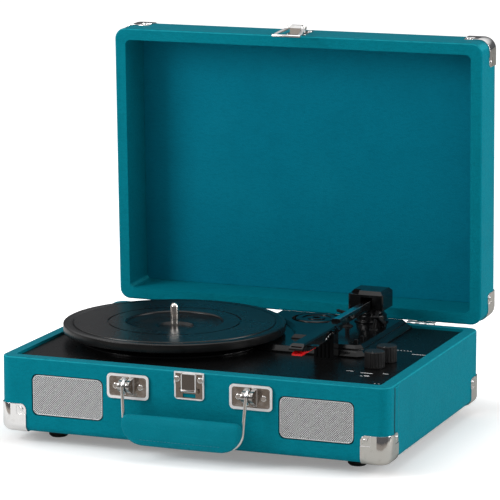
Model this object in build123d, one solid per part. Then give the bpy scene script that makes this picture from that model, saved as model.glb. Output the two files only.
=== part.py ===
from build123d import *
import os
from math import cos, pi, radians, sin, sqrt

# Suitcase record player, shown with its lid open.
# Millimetres.  +X right, +Y back, +Z up; the speakers and the handle face -Y.
# Places below are given from the middle of the case's flat underside.  The written
# pieces are moved so that the origin is on the spindle's axis, level with the mat.

os.makedirs("parts", exist_ok=True)

# ---------------------------------------------------------------- case
case_width = 355.0
case_depth = 256.8
case_corner = 10.0          # radius of the upright corners
wall = 10.5                 # wrapped board, base and lid alike
wrap_round = 1.8            # rounding where the wrap turns over a rim
bottom_round = 6.0
foot_height = 10.5
foot_radius = 8.6
foot_x = 138.6
foot_y = 92.3
base_height = 66.0
lid_height = 45.8
lid_inside = 41.8           # depth from the rim to the lining
lid_round = 7.0
lining = 1.0
rim_gap = 0.2               # between the rims of the closed case
open_angle = 88.2           # how far the lid stands open at rest
panel = 4.0                 # bottom panel

base_bottom = 0.0
rim_z = base_bottom + base_height
lid_bottom = rim_z + rim_gap
front = -case_depth / 2
back = case_depth / 2
side = case_width / 2
ledge = 3.5                 # the shelf under the deck plate
cavity_x = side - wall - ledge
cavity_y = back - wall - ledge

# ---------------------------------------------------------------- hinges
jack_x = 60.0
jack_z = base_bottom + 26.0
pin_y = back + 2.5
pin_z = rim_z - 1.35
pin_radius = 1.1
knuckle_radius = 2.3
hinge_x = 121.0
hinge_width = 26.0
leaf = 1.1

# ---------------------------------------------------------------- deck
deck_drop = 2.5             # deck face below the rim
deck_plate = 3.0
deck_z = rim_z - deck_drop
deck_under = deck_z - deck_plate
chassis_z = deck_z + 5.5    # lower step of the raised chassis
step_z = chassis_z + 3.5    # upper step, under the tonearm
skin = 3.0                  # moulding thickness
lower_slope = 4.0           # sloping edges of the two steps
upper_slope = 2.8
island_radius = 84.0        # under the platter

# ---------------------------------------------------------------- platter
platter_x = -66.0
platter_y = -2.0
platter_radius = 99.0
platter_top = rim_z + 14.0
platter_skirt = 8.2
mat_radius = 90.0
label_radius = 42.0
belt_ring = 62.0
spindle_radius = 3.55       # above the platter
hub_radius = 3.2            # where the platter is pressed on
spindle_above = 16.5

# ---------------------------------------------------------------- motor drive
motor_angle = 128.0         # where the motor sits around the spindle
motor_reach = 80.0
pulley_radius = 5.0
belt = 0.9
belt_low = chassis_z + 3.3
belt_high = chassis_z + 6.7
motor_x = platter_x + motor_reach * cos(radians(motor_angle))
motor_y = platter_y + motor_reach * sin(radians(motor_angle))

# ---------------------------------------------------------------- tonearm
arm_x = 86.0
arm_y = 95.0                # vertical bearing of the arm
arm_axis_z = rim_z + 23.5   # pitch axis
arm_top = rim_z + 27.0
arm_under = rim_z + 20.0
shell_top = rim_z + 24.5
shell_under = rim_z + 16.2
arm_width = 8.6
shell_width = 12.4
shell_start = -2.0          # y where the tube becomes the headshell
shell_tip = -103.0
turret_radius = 14.0
housing_bottom = rim_z + 19.0
housing_top = rim_z + 36.0
bar_radius = 33.0           # lift bar, measured from the arm's bearing
running = 0.05

# ---------------------------------------------------------------- controls
knob_radius = 8.8
knob_height = 14.0
knob_spots = [("volume", 137.0, -46.0), ("tone", 139.5, -21.0)]
adapter_x = 36.0
adapter_y = 88.0
adapter_radius = 19.0
well_radius = 22.4

# ---------------------------------------------------------------- front face
grille_x = 113.8
grille_z = base_bottom + 33.6
grille_width = 67.0
grille_height = 36.6
grille_sheet = 1.2
bracket_x = 56.2
bracket_z = base_bottom + 48.5
bracket_width = 38.6
bracket_height = 21.6
latch_width = 27.0
latch_height = 24.0
latch_z = rim_z - latch_height / 2 - 0.4
pivot_y = front - 8.6       # handle pivot
pivot_z = bracket_z + 2.0
barrel_radius = 3.4         # rivet that the wire's eye turns on
eye_radius = 5.0            # centre line of the eye
wire_radius = 1.45
handle_half = 53.4          # half of the wire's width along the bottom
handle_low = 4.5            # centre of the wire along the bottom
handle_bend = 16.0
handle_lean = 3.5           # degrees that the legs lean out
grip_half = 53.0
grip_low = 2.4
grip_high = 29.4
grip_front = front - 24.5
grip_thick = 12.0


# ================================================================ helpers
def block(x0, x1, y0, y1, z0, z1):
    """Box between two opposite corners."""
    return Pos((x0 + x1) / 2, (y0 + y1) / 2, (z0 + z1) / 2) * Box(x1 - x0, y1 - y0, z1 - z0)


def rod_x(x0, x1, y, z, radius):
    """Round bar along X."""
    return Pos((x0 + x1) / 2, y, z) * Rot(0, 90, 0) * Cylinder(radius, x1 - x0)


def rod_y(x, y0, y1, z, radius):
    """Round bar along Y."""
    return Pos(x, (y0 + y1) / 2, z) * Rot(90, 0, 0) * Cylinder(radius, y1 - y0)


def rod_z(x, y, z0, z1, radius):
    """Round bar along Z."""
    return Pos(x, y, (z0 + z1) / 2) * Cylinder(radius, z1 - z0)


def tray(width, depth, corner, z0, z1):
    """Upright block with rounded upright corners, centred on the case."""
    return Pos(0, 0, z0) * extrude(RectangleRounded(width, depth, corner), z1 - z0)


def face_plate(x, y, z, width, height, corner, thick):
    """Rounded plate standing in XZ whose back lies at y; it grows towards -Y."""
    flat = RectangleRounded(width, height, corner)
    return Pos(x, y, z) * Rot(90, 0, 0) * extrude(flat, thick)


def turned(points, x, y):
    """Solid of revolution about an upright axis from (radius, z) points."""
    outline = make_face(Plane.XZ * Polyline(*points, close=True))
    return Pos(x, y, 0) * revolve(outline, Axis.Z)


def opened(shape):
    """Swing a part of the closed lid to where it stands at rest."""
    return shape.rotate(Axis((0, pin_y, pin_z), (1, 0, 0)), -open_angle)


def dome_screw(radius, length, dome=0.9):
    """Domed screw, head up at z = 0 and above, shank below."""
    head = Cylinder(radius, dome, align=(Align.CENTER, Align.CENTER, Align.MIN))
    head = fillet(head.edges().group_by(Axis.Z)[-1], dome * 0.7)
    shank = Pos(0, 0, -length / 2) * Cylinder(radius * 0.45, length)
    slot = Pos(0, 0, dome) * Box(radius * 1.3, 0.35, 0.5)
    cross = Pos(0, 0, dome) * Box(0.35, radius * 1.3, 0.5)
    return head + shank - slot - cross


def save(name, shape):
    """Write one node about the spindle."""
    export_step(Pos(-platter_x, -platter_y, -platter_top) * shape, f"parts/{name}.step")


# ================================================================ base case
face_screws = []            # (x, z, y of the seat) on the front face
for sign in (-1, 1):
    for offset in (-11.4, 11.4):
        face_screws.append((sign * bracket_x + offset, bracket_z, front - 1.0))
for sign in (-1, 1):
    face_screws.append((sign * 10.6, rim_z - 6.6, front - 1.65))

panel_screws = [(sx * 60, sy * (back - 11.4)) for sx in (-1, 1) for sy in (-1, 1)]
panel_screws += [(sx * (side - 11.4), 0) for sx in (-1, 1)]


def case_block(z0, z1, grow=0.0):
    """Outer body of the base, or the same body grown outwards."""
    body = tray(case_width + 2 * grow, case_depth + 2 * grow, case_corner + grow, z0 - grow, z1)
    return fillet(body.edges().group_by(Axis.Z)[0], bottom_round + grow)


def base_shell():
    """Wrapped frame: four walls, a shelf for the deck and a rebate for the bottom."""
    body = case_block(base_bottom, rim_z)
    body = fillet(body.edges().group_by(Axis.Z)[-1], wrap_round)
    body -= tray(2 * (side - wall), 2 * (back - wall), 3, deck_under, rim_z + 1)
    body -= tray(2 * cavity_x, 2 * cavity_y, 3, base_bottom - 1, rim_z)
    body -= tray(2 * (side - 9), 2 * (back - 9), 3, base_bottom - 1, base_bottom + panel)
    for sign in (-1, 1):
        seat = face_plate(sign * grille_x, front + grille_sheet + 0.6, grille_z,
                          grille_width + 0.4, grille_height + 0.4, 5.2, 5)
        opening = face_plate(sign * grille_x, front + 20, grille_z,
                             grille_width - 7, grille_height - 7, 4, 30)
        body -= seat + opening
    for x, z, _ in face_screws:
        body -= rod_y(x, front - 1, front + 6.4, z, 1.2)
    for x, y in panel_screws:
        body -= rod_z(x, y, base_bottom, base_bottom + panel + 10, 1.2)
    body -= block(jack_x - 33, jack_x + 33, back - 16, back + 1, jack_z - 9, jack_z + 9)
    body -= block(jack_x - 36, jack_x + 36, back - 1.6, back + 1, jack_z - 12, jack_z + 12)
    for sign in (-1, 1):
        for offset in (-8, 8):
            body -= rod_y(sign * hinge_x + offset, back - 5, back + 1, pin_z - 11, 1.0)
    return nail_holes(base_corners(), body)


def bottom_panel():
    """Board that closes the base from below, held by six screws."""
    body = tray(2 * (side - 9) - 0.4, 2 * (back - 9) - 0.4, 2.8, base_bottom, base_bottom + panel)
    for x, y in panel_screws:
        body -= rod_z(x, y, base_bottom - 1, base_bottom + panel + 1, 1.6)
    for sx in (-1, 1):
        for sy in (-1, 1):
            body -= rod_z(sx * foot_x, sy * foot_y, base_bottom - 1, base_bottom + panel + 1, 2.1)
    return nail_holes(base_corners(), body)


def rubber_feet():
    """Four turned rubber feet with a push-in peg."""
    shapes = []
    for sx in (-1, 1):
        for sy in (-1, 1):
            outline = [(0, -foot_height), (foot_radius - 1.6, -foot_height),
                       (foot_radius, 1.6 - foot_height), (foot_radius, 0), (2.0, 0), (2.0, 3), (0, 3)]
            shapes.append(turned(outline, sx * foot_x, sy * foot_y))
    return Compound(shapes)


# ---------------------------------------------------------------- rear sockets
def jack_panel():
    """Moulded plate in the back wall that carries the sockets."""
    plate = block(jack_x - 35.8, jack_x + 35.8, back - 1.5, back - 0.1, jack_z - 11.8, jack_z + 11.8)
    plate -= rod_y(jack_x - 22, back - 3, back + 1, jack_z, 4.2)
    for offset in (12, 26):
        plate -= rod_y(jack_x + offset, back - 3, back + 1, jack_z, 4.2)
    return plate


def rear_sockets():
    """Barrel socket for the mains adapter, and the two line outputs."""
    power = rod_y(jack_x - 22, back - 13, back - 0.6, jack_z, 4.1)
    power -= rod_y(jack_x - 22, back - 10, back, jack_z, 2.8)
    power += rod_y(jack_x - 22, back - 10.5, back - 2, jack_z, 1.0)
    shapes = [power]
    for offset in (12, 26):
        barrel = rod_y(jack_x + offset, back - 13, back, jack_z, 3.9)
        barrel += rod_y(jack_x + offset, back, back + 7.5, jack_z, 4.15)
        barrel -= rod_y(jack_x + offset, back - 3, back + 8, jack_z, 3.2)
        barrel += rod_y(jack_x + offset, back - 4, back + 4, jack_z, 1.1)
        shapes.append(barrel)
    return Compound(shapes)


# ================================================================ speakers
speaker_y = front + wall + ledge      # inner face of the front wall
cone_radius = 25.0


def speaker_frame(x):
    """Pressed basket with its mounting flange."""
    z = grille_z
    outline = [(cone_radius - 3, 0), (cone_radius, 0), (cone_radius, 1.2),
               (cone_radius - 1.5, 1.2), (13, 14), (13, 18), (11.5, 18),
               (11.5, 13.6), (cone_radius - 3, 1.2)]
    ring = revolve(make_face(Plane.XZ * Polyline(*outline, close=True)), Axis.Z)
    return Pos(x, speaker_y + 0.1, z) * Rot(-90, 0, 0) * ring


def speaker_cone(x):
    """Paper cone with surround and dust cap."""
    outline = [(0, 6.5), (6, 8), (6, 9.5), (cone_radius - 6, 1.0), (cone_radius - 3.3, 0.4),
               (cone_radius - 3.3, 1.0), (cone_radius - 6, 2.0), (9, 9.8), (9, 11.5), (0, 11.5)]
    solid = revolve(make_face(Plane.XZ * Polyline(*outline, close=True)), Axis.Z)
    return Pos(x, speaker_y + 0.1, grille_z) * Rot(-90, 0, 0) * solid


def speaker_magnet(x):
    """Ring magnet with its back plate."""
    body = rod_y(x, speaker_y + 18.2, speaker_y + 28, grille_z, 19)
    return chamfer(body.edges(), 1.0)


def pair(maker):
    """The same piece on the left and on the right."""
    return Compound([maker(-grille_x), maker(grille_x)])


def speaker_grille(x):
    """Fine woven sheet in a thin rounded frame, let into the front."""
    sheet = face_plate(x, front + grille_sheet + 0.5, grille_z,
                       grille_width, grille_height, 5, grille_sheet)
    for row in range(-2, 3):
        sheet -= face_plate(x, front + 5, grille_z + row * 6.0, grille_width - 14, 1.2, 0.55, 10)
    return sheet


# ================================================================ deck
def deck_panel():
    """Flat deck plate that drops onto the shelf inside the walls."""
    body = tray(2 * (side - wall) - 0.5, 2 * (back - wall) - 0.5, 2.8, deck_under, deck_z)
    body -= rod_z(platter_x, platter_y, 0, rim_z, 14)
    body -= rod_z(motor_x, motor_y, 0, rim_z, 17)
    body -= rod_z(arm_x, arm_y, 0, rim_z, 7)
    for _, x, y in knob_spots:
        body -= rod_z(x, y, 0, rim_z, 3.8)
    body -= block(92, 112, -14, 22, 0, rim_z)
    bar_x, bar_y = bar_spot(22)
    body -= rod_z(bar_x, bar_y, 0, rim_z, 4)
    return body


def chassis_outline(inset, z0, z1):
    """Lower step: a round island under the platter joined to a rectangle."""
    disc = rod_z(platter_x, platter_y, z0, z1, island_radius - inset)
    slab = block(platter_x, 118 - inset, -20 + inset, 115.6 - inset, z0, z1)
    corner = Pos(118 - inset, -20 + inset, (z0 + z1) / 2) * Rot(0, 0, 45) * Box(9, 9, z1 - z0)
    return disc + slab - corner


def step_outline(inset, z0, z1):
    """Upper step: the tonearm board, cut back along an arc around the platter."""
    slab = block(-8 + inset, 113 - inset, -11 + inset, 113 - inset, z0, z1)
    slab -= rod_z(platter_x, platter_y, z0 - 1, z1 + 1, 106 + inset)
    slab -= block(0, 66 + inset, -40, 14 + inset, z0 - 1, z1 + 1)
    corner = Pos(113 - inset, -11 + inset, (z0 + z1) / 2) * Rot(0, 0, 45) * Box(8, 8, z1 - z0)
    return slab - corner


def bar_spot(angle):
    """A place on the lift bar's arc, in degrees from the resting arm."""
    turn = radians(angle)
    return arm_x - bar_radius * sin(turn), arm_y - bar_radius * cos(turn)


def chassis_plate():
    """Moulded turntable chassis: two steps, hollow underneath."""
    lower = chassis_outline(0, deck_z, chassis_z)
    lower = chamfer(lower.edges().group_by(Axis.Z)[-1], lower_slope)
    upper = step_outline(0, chassis_z - 0.5, step_z)
    upper = chamfer(upper.edges().group_by(Axis.Z)[-1], upper_slope)
    body = lower + upper
    body -= chassis_outline(skin, deck_z - 1, chassis_z - skin)
    hollow = step_outline(skin, chassis_z - skin - 0.5, step_z - skin)
    body -= hollow
    body += rod_z(platter_x, platter_y, deck_z, chassis_z, 9)
    body += rod_z(adapter_x, adapter_y, deck_z, step_z, well_radius + 2)
    body -= rod_z(adapter_x, adapter_y, step_z - 3.6, step_z + 1, well_radius)
    body += rod_z(arm_x, arm_y, deck_z, step_z, 16)
    bar_x, bar_y = bar_spot(22)
    body += rod_z(bar_x, bar_y, deck_z, step_z, 5)
    body -= rod_z(bar_x, bar_y, 0, rim_z + 20, 2.06)
    body -= rod_z(platter_x, platter_y, 0, rim_z + 20, 6.05)
    body -= rod_z(arm_x, arm_y, 0, rim_z + 20, 5.0)
    body -= rod_z(motor_x, motor_y, 0, rim_z + 20, 7.5)
    for y in (speed_y, stop_y):
        body -= block(switch_x - 1.7, switch_x + 1.7, y - 5.5, y + 5.5, chassis_z - 4, rim_z + 20)
    body -= rod_x(arm_x + 16.8, arm_x + 22, cue_y, step_z + 3, 1.2)
    return body


# ================================================================ platter group
def platter():
    """Moulded platter: rim, web, belt ring underneath and a bored hub."""
    top = platter_top
    low = top - platter_skirt
    bore = hub_radius
    outline = [
        (bore, top - 6.6), (15, top - 6.6), (17, top - 4.2), (36, top - 4.0),
        (label_radius, top - 1.6), (mat_radius + 0.4, top - 1.6), (mat_radius + 0.4, top - 0.7),
        (mat_radius + 2.2, top - 0.4), (94.4, top - 0.1), (97.8, top - 0.3),
        (platter_radius, top - 0.9), (platter_radius, low + 0.6), (platter_radius - 0.6, low),
        (platter_radius - 2.6, low), (platter_radius - 2.6, top - 3.6),
        (belt_ring, top - 3.6), (belt_ring, low + 0.2), (belt_ring - 2.4, low + 0.2),
        (belt_ring - 2.4, top - 3.6), (label_radius, top - 3.8), (35, top - 6.2),
        (18, top - 6.4), (15.5, top - 8.6), (bore, top - 8.6),
    ]
    return turned(outline, platter_x, platter_y)


def platter_mat():
    """Thin moulded mat with a fine groove half way out."""
    low = platter_top - 1.5
    ring = turned([(label_radius + 0.6, low), (mat_radius, low), (mat_radius, platter_top - 0.3),
                   (mat_radius - 0.6, platter_top), (59.8, platter_top), (59.8, platter_top - 0.9),
                   (58.2, platter_top - 0.9), (58.2, platter_top), (label_radius + 2, platter_top),
                   (label_radius + 0.6, platter_top - 0.8)], platter_x, platter_y)
    return ring


def spindle():
    """Centre pin with a domed tip; its shaft runs down into the bearing."""
    top = platter_top + spindle_above
    outline = [(0, bearing_low + 3), (3.0, bearing_low + 3), (3.0, platter_top - 8.8),
               (hub_radius, platter_top - 8.8), (hub_radius, platter_top - 6.6),
               (spindle_radius, platter_top - 6.6), (spindle_radius, top - 3.4),
               (3.0, top - 1.6), (1.7, top - 0.4), (0, top)]
    return turned(outline, platter_x, platter_y)


bearing_low = deck_under - 14


def spindle_bearing():
    """Flanged brass bush that carries the spindle."""
    outline = [(3.0 + running, bearing_low + 2), (3.0 + running, chassis_z + 0.6),
               (8.0, chassis_z + 0.6), (8.0, chassis_z), (6.0, chassis_z),
               (6.0, bearing_low), (0, bearing_low), (0, bearing_low + 2)]
    return turned(outline, platter_x, platter_y)


def motor():
    """Flat direct-current motor under the deck, with its shaft."""
    can = rod_z(motor_x, motor_y, deck_under - 21, deck_under - 1, 16)
    can = fillet(can.edges(), 1.5)
    neck = rod_z(motor_x, motor_y, deck_under - 1, deck_under + 1.5, 5)
    shaft = rod_z(motor_x, motor_y, deck_under - 2, belt_high + 0.6, 1.0)
    return can + neck + shaft


def motor_pulley():
    """Crowned brass pulley."""
    low = belt_low - 0.8
    high = belt_high + 0.3
    middle = (low + high) / 2
    outline = [(1.0 + running, low), (6.2, low), (6.2, low + 0.5), (pulley_radius - 0.2, low + 0.7),
               (pulley_radius, middle), (pulley_radius - 0.2, high), (1.0 + running, high)]
    return turned(outline, motor_x, motor_y)


def hull_of_circles(grow):
    """Outline of a band drawn tight around the belt ring and the pulley."""
    reach = motor_reach
    big = belt_ring + grow
    small = pulley_radius + grow
    lean = (big - small) / reach
    rise = sqrt(1 - lean * lean)
    wedge = Polyline((big * lean, big * rise), (reach + small * lean, small * rise),
                     (reach + small * lean, -small * rise), (big * lean, -big * rise), close=True)
    shape = Circle(big) + Pos(reach, 0) * Circle(small) + make_face(wedge)
    return Pos(platter_x, platter_y, 0) * Rot(0, 0, motor_angle) * shape


def drive_belt():
    """Flat rubber belt."""
    band = hull_of_circles(belt + 0.12) - hull_of_circles(0.12)
    return Pos(0, 0, belt_low) * extrude(band, belt_high - belt_low)


# ================================================================ tonearm group
def arm_turret():
    """Fixed pillar of the tonearm, bored for the arm's shaft."""
    high = housing_bottom - 0.3
    outline = [(3.0 + running, step_z), (turret_radius + 1.5, step_z),
               (turret_radius + 1.5, step_z + 1.6), (turret_radius, step_z + 2.2),
               (turret_radius, high - 6), (turret_radius - 2.5, high - 3.5),
               (turret_radius - 2.5, high), (3.0 + running, high)]
    return turned(outline, arm_x, arm_y)


def arm_shaft():
    """Upright steel shaft that turns in the turret."""
    return rod_z(arm_x, arm_y, step_z - 8, housing_bottom, 3.0)


def arm_housing():
    """Bevelled hood that carries the arm on a cross pin."""
    body = block(68.5, 101.5, arm_y - 15, arm_y + 15, housing_bottom, housing_top)
    body = chamfer(body.edges().group_by(Axis.Z)[-1], 3.2)
    body = fillet(body.edges().filter_by(Axis.Z), 2.2)
    shoulder = block(60, 78.5, arm_y - 16, arm_y - 6, housing_top - 3.0, housing_top + 1)
    body -= shoulder
    body -= block(arm_x - 5.4, arm_x + 5.4, arm_y - 17, arm_y + 7, arm_under - 1.4, housing_top - 5.4)
    body -= rod_x(arm_x - 12, arm_x + 12, arm_y, arm_axis_z, 1.05)
    return body


def arm_pin():
    """Cross pin, the arm's pitch axis."""
    return rod_x(arm_x - 11.5, arm_x + 11.5, arm_y, arm_axis_z, 1.0)


def arm_tube():
    """Channel-section arm from the cross pin to the headshell."""
    half = arm_width / 2
    body = block(arm_x - half, arm_x + half, shell_start + 1, arm_y + 4, arm_under, arm_top)
    body = chamfer(body.edges().filter_by(Axis.Y).group_by(Axis.Z)[-1], 1.3)
    body -= block(arm_x - half + 1.2, arm_x + half - 1.2, shell_start - 5, arm_y - 6,
                  arm_under - 1, arm_top - 1.6)
    body -= rod_x(arm_x - 12, arm_x + 12, arm_y, arm_axis_z, 1.05)
    plug = block(arm_x - half + 0.6, arm_x + half - 0.6, shell_start + 1, shell_start + 5,
                 arm_under + 0.4, arm_top - 1)
    tongue = block(arm_x - 2.9, arm_x + 2.9, shell_start - 9, shell_start + 3, arm_top - 6.4, arm_top - 4.4)
    return body + plug + tongue


def headshell():
    """Long moulded head that carries the cartridge, with a finger lift."""
    half = shell_width / 2
    profile = Polyline((shell_start + 0.9, shell_under + 2.2), (shell_start + 0.9, shell_top),
                       (shell_tip + 7, shell_top), (shell_tip, shell_top - 3.2),
                       (shell_tip, shell_under + 3.4), (shell_tip + 18, shell_under),
                       (-30, shell_under), close=True)
    body = Pos(arm_x - half, 0, 0) * extrude(make_face(Plane.YZ * profile), shell_width, dir=(1, 0, 0))
    body = chamfer(body.edges().filter_by(Axis.Y).group_by(Axis.Z)[-1], 1.2)
    body -= block(arm_x - half + 1.5, arm_x + half - 1.5, shell_tip + 1.5, -41,
                  shell_under - 1, shell_top - 1.8)
    body -= block(arm_x - 3, arm_x + 3, shell_start - 9.5, shell_start + 2, arm_top - 6.45, arm_top - 4.35)
    lift = block(arm_x + half - 0.5, arm_x + half + 9, shell_tip + 13, shell_tip + 19,
                 shell_under + 4.6, shell_under + 5.8)
    lift = fillet(lift.edges().filter_by(Axis.Z).group_by(Axis.X)[-1], 2.4)
    return body + lift


def cartridge():
    """Ceramic pickup held inside the headshell."""
    body = block(arm_x - 4.6, arm_x + 4.6, shell_tip + 18, shell_tip + 40,
                 shell_under - 0.6, shell_top - 2.0)
    return chamfer(body.edges().filter_by(Axis.Y), 0.7)


def stylus():
    """Red stylus carrier clipped under the cartridge, needle at its front."""
    tip_z = platter_top + 0.3
    profile = Polyline((shell_tip + 3, shell_under - 0.2), (shell_tip + 17.9, shell_under + 3.4),
                       (shell_tip + 17.9, shell_under - 0.7), (shell_tip + 44, shell_under - 0.7),
                       (shell_tip + 44, tip_z + 0.4), (shell_tip + 10, tip_z + 0.2),
                       (shell_tip + 3, shell_under - 1.6), close=True)
    body = Pos(arm_x - 4.4, 0, 0) * extrude(make_face(Plane.YZ * profile), 8.8, dir=(1, 0, 0))
    needle = Pos(arm_x, shell_tip + 12, tip_z + 0.5) * Cone(0.25, 0.8, 1.0)
    return body + needle


cue_y = arm_y - 22.0


def lift_bar():
    """Curved bar that raises the arm, on a stem guided by the chassis."""
    high = arm_under - 0.2
    arc = ThreePointArc(bar_spot(-6), bar_spot(20), bar_spot(47))
    path = Pos(0, 0, high - 1.2) * arc
    outward = (path @ 0) - Vector(arm_x, arm_y, high - 1.2)
    start = Plane(path @ 0, x_dir=outward.normalized(), z_dir=path % 0)
    rail = sweep(start * RectangleRounded(3.0, 2.4, 0.6), path=path)
    x, y = bar_spot(22)
    stem = rod_z(x, y, deck_under - 6, high - 1.2, 2.0)
    return rail + stem


def cue_lever():
    """Bent lever at the right of the turret that works the lift."""
    x0 = arm_x + 17.0
    hub = rod_x(x0, x0 + 3.4, cue_y, step_z + 3, 2.6)
    bore = rod_x(x0 - 1, x0 + 5, cue_y, step_z + 3, 1.05)
    stalk = Pos(x0 + 1.7, cue_y, step_z + 3) * Rot(-26, 0, 0) * Pos(0, -10, 0) * Box(3.0, 18, 1.8)
    pad = Pos(x0 + 1.7, cue_y, step_z + 3) * Rot(-26, 0, 0) * Pos(0, -21, 0) * Box(5.0, 6.5, 2.2)
    pad = fillet(pad.edges(), 0.8)
    return hub + stalk + pad - bore


def cue_bracket():
    """Small upright that holds the cue lever's pin."""
    x0 = arm_x + 15.9
    post = block(x0 - 2.0, x0 + 0.9, cue_y - 3, cue_y + 3, step_z, step_z + 6)
    pin = rod_x(x0 - 1, x0 + 5.2, cue_y, step_z + 3, 1.0)
    return post + pin


rest_y = -27.5


def arm_rest():
    """Post on the deck with a saddle under the headshell."""
    high = shell_under - 0.1
    body = block(arm_x - 8.5, arm_x + 9.5, rest_y - 6, rest_y + 6, deck_z, high)
    body -= block(arm_x - 7.4, arm_x + 7.0, rest_y - 7, rest_y + 7, high - 0.01, high + 5)
    for offset in (-5.4, -1.8, 1.8, 5.4):
        body -= block(arm_x + offset - 0.7, arm_x + offset + 0.7, rest_y - 7, rest_y - 5,
                      deck_z + 1.5, high - 3)
    fork = block(arm_x + 7.2, arm_x + 9.5, rest_y - 6, rest_y + 6, high - 1, shell_top - 1)
    fork -= rod_y(arm_x + 8.3, rest_y - 8, rest_y + 8, shell_top - 3, 0.75)
    fork -= block(arm_x + 7, arm_x + 10, rest_y - 2.6, rest_y + 2.6, shell_top - 5, shell_top + 1)
    return body + fork


def arm_clip():
    """Hook that folds over the arm to hold it down for carrying."""
    axis_x = arm_x + 8.3
    axis_z = shell_top - 3
    barrel = rod_y(axis_x, rest_y - 2.4, rest_y + 2.4, axis_z, 1.5)
    hook = block(axis_x - 1.1, axis_x + 1.1, rest_y - 2.4, rest_y + 2.4, axis_z, axis_z + 4.8)
    lip = block(axis_x - 3.6, axis_x + 1.1, rest_y - 2.4, rest_y + 2.4, axis_z + 3.5, axis_z + 4.8)
    tilt = (hook + lip).rotate(Axis((axis_x, rest_y, axis_z), (0, 1, 0)), 50)
    return barrel + tilt - rod_y(axis_x, rest_y - 4, rest_y + 4, axis_z, 0.75)


# ================================================================ controls
switch_x = 104.5
speed_y = 2.0
stop_y = 17.5


def knob(x, y):
    """Fluted control knob with a pointer line across its face."""
    low = deck_z + 0.4
    body = rod_z(x, y, low, low + knob_height, knob_radius)
    body = chamfer(body.edges().group_by(Axis.Z)[-1], 0.8)
    for index in range(20):
        turn = 2 * pi * index / 20
        body -= rod_z(x + (knob_radius + 0.55) * cos(turn), y + (knob_radius + 0.55) * sin(turn),
                      low + 1.2, low + knob_height + 1, 0.95)
    body -= block(x - 0.4, x + 0.4, y - knob_radius, y - 3.0, low + knob_height - 0.5, low + knob_height + 1)
    return body - rod_z(x, y, low - 1, low + knob_height - 4, 3.0)


def control_pots():
    """Two rotary potentiometers hung under the deck plate."""
    shapes = []
    for _, x, y in knob_spots:
        can = rod_z(x, y, deck_under - 9.5, deck_under - 0.1, 8.0)
        bush = rod_z(x, y, deck_under - 1, deck_z + 0.2, 3.6)
        shapes.append(can + bush - rod_z(x, y, deck_under - 6, deck_z + 1, 3.0 + running))
    return Compound(shapes)


def knob_shaft(x, y):
    """Turning shaft between a potentiometer and its knob."""
    return rod_z(x, y, deck_under - 5.8, deck_z + 0.4 + knob_height - 4.2, 3.0)


def slide_switch(y, width):
    """Thumb peg on a sliding plate under the tonearm board."""
    peg = block(switch_x - width, switch_x + width, y - 3.6, y - 0.8, chassis_z, step_z + 3.6)
    peg = chamfer(peg.edges().group_by(Axis.Z)[-1], 0.5)
    plate = block(switch_x - 3.2, switch_x + 3.2, y - 6.4, y + 1.8, chassis_z - 1.0, chassis_z + 0.4)
    return peg + plate


def disc_adapter():
    """Puck that fills the large hole of a single."""
    low = step_z - 3.5
    body = rod_z(adapter_x, adapter_y, low, low + 4.2, adapter_radius)
    body = chamfer(body.edges().group_by(Axis.Z)[-1], 0.9)
    body -= rod_z(adapter_x, adapter_y, low - 1, low + 9, 3.65)
    groove = rod_z(adapter_x, adapter_y, low + 3.5, low + 5, 13)
    groove -= rod_z(adapter_x, adapter_y, low + 3, low + 6, 8)
    return body - groove


def circuit_board():
    """Amplifier board on four standoffs above the bottom panel."""
    low = base_bottom + panel + 6
    body = block(20, 100, 20, 80, low, low + 1.6)
    for x in (25, 95):
        for y in (25, 75):
            body += rod_z(x, y, base_bottom + panel, low + 0.5, 2.6)
    return body


def board_parts():
    """Amplifier chip with its cooler and the two large capacitors."""
    low = base_bottom + panel + 7.6
    cooler = block(60, 92, 30, 36, low, low + 18)
    for index in range(7):
        x = 62.2 + index * 4.2
        cooler -= block(x, x + 2.2, 32, 37, low + 2, low + 19)
    shapes = [cooler, rod_z(35, 65, low, low + 16, 6), rod_z(52, 65, low, low + 16, 6)]
    return Compound(shapes)


# ================================================================ lid
def lid_block(grow=0.0):
    """Outer body of the closed lid, or the same body grown outwards."""
    body = tray(case_width + 2 * grow, case_depth + 2 * grow, case_corner + grow,
                lid_bottom, lid_bottom + lid_height + grow)
    return fillet(body.edges().group_by(Axis.Z)[-1], lid_round + grow)


def lid_shell():
    """Wrapped lid, hollow from its rim."""
    body = fillet(lid_block().edges().group_by(Axis.Z)[0], wrap_round)
    body -= tray(2 * (side - wall), 2 * (back - wall), 5, lid_bottom - 1, lid_bottom + lid_inside + lining)
    for sign in (-1, 1):
        for offset in (-8, 8):
            body -= rod_y(sign * hinge_x + offset, back - 5, back + 1, pin_z + 12, 1.0)
        body -= rod_y(sign * 6.6, front - 1, front + 6.4, hasp_screw_z, 1.2)
    return opened(nail_holes(lid_corners(), body))


def lid_lining():
    """Covered board glued inside the lid."""
    top = lid_bottom + lid_inside + lining
    return opened(tray(2 * (side - wall) - 0.4, 2 * (back - wall) - 0.4, 4.8, top - lining, top))


# ================================================================ corner guards
guard = 1.1                 # thickness of the pressed steel
guard_reach = 24.6          # from the corner to the free edges of the flaps
guard_round = 5.0
guard_pad = 9.0             # sunken square at the free corner of each flap
pad_skin = 0.6
nail_radius = 0.8
nail_depth = 2.6            # shorter than the lid's top is thick


def base_corners():
    """The four lower corners of the base and the way each one points."""
    return [(sx * side, sy * back, base_bottom, (sx, sy, -1)) for sx in (-1, 1) for sy in (-1, 1)]


def lid_corners():
    """The four upper corners of the closed lid and the way each one points."""
    top = lid_bottom + lid_height
    return [(sx * side, sy * back, top, (sx, sy, 1)) for sx in (-1, 1) for sy in (-1, 1)]


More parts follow.
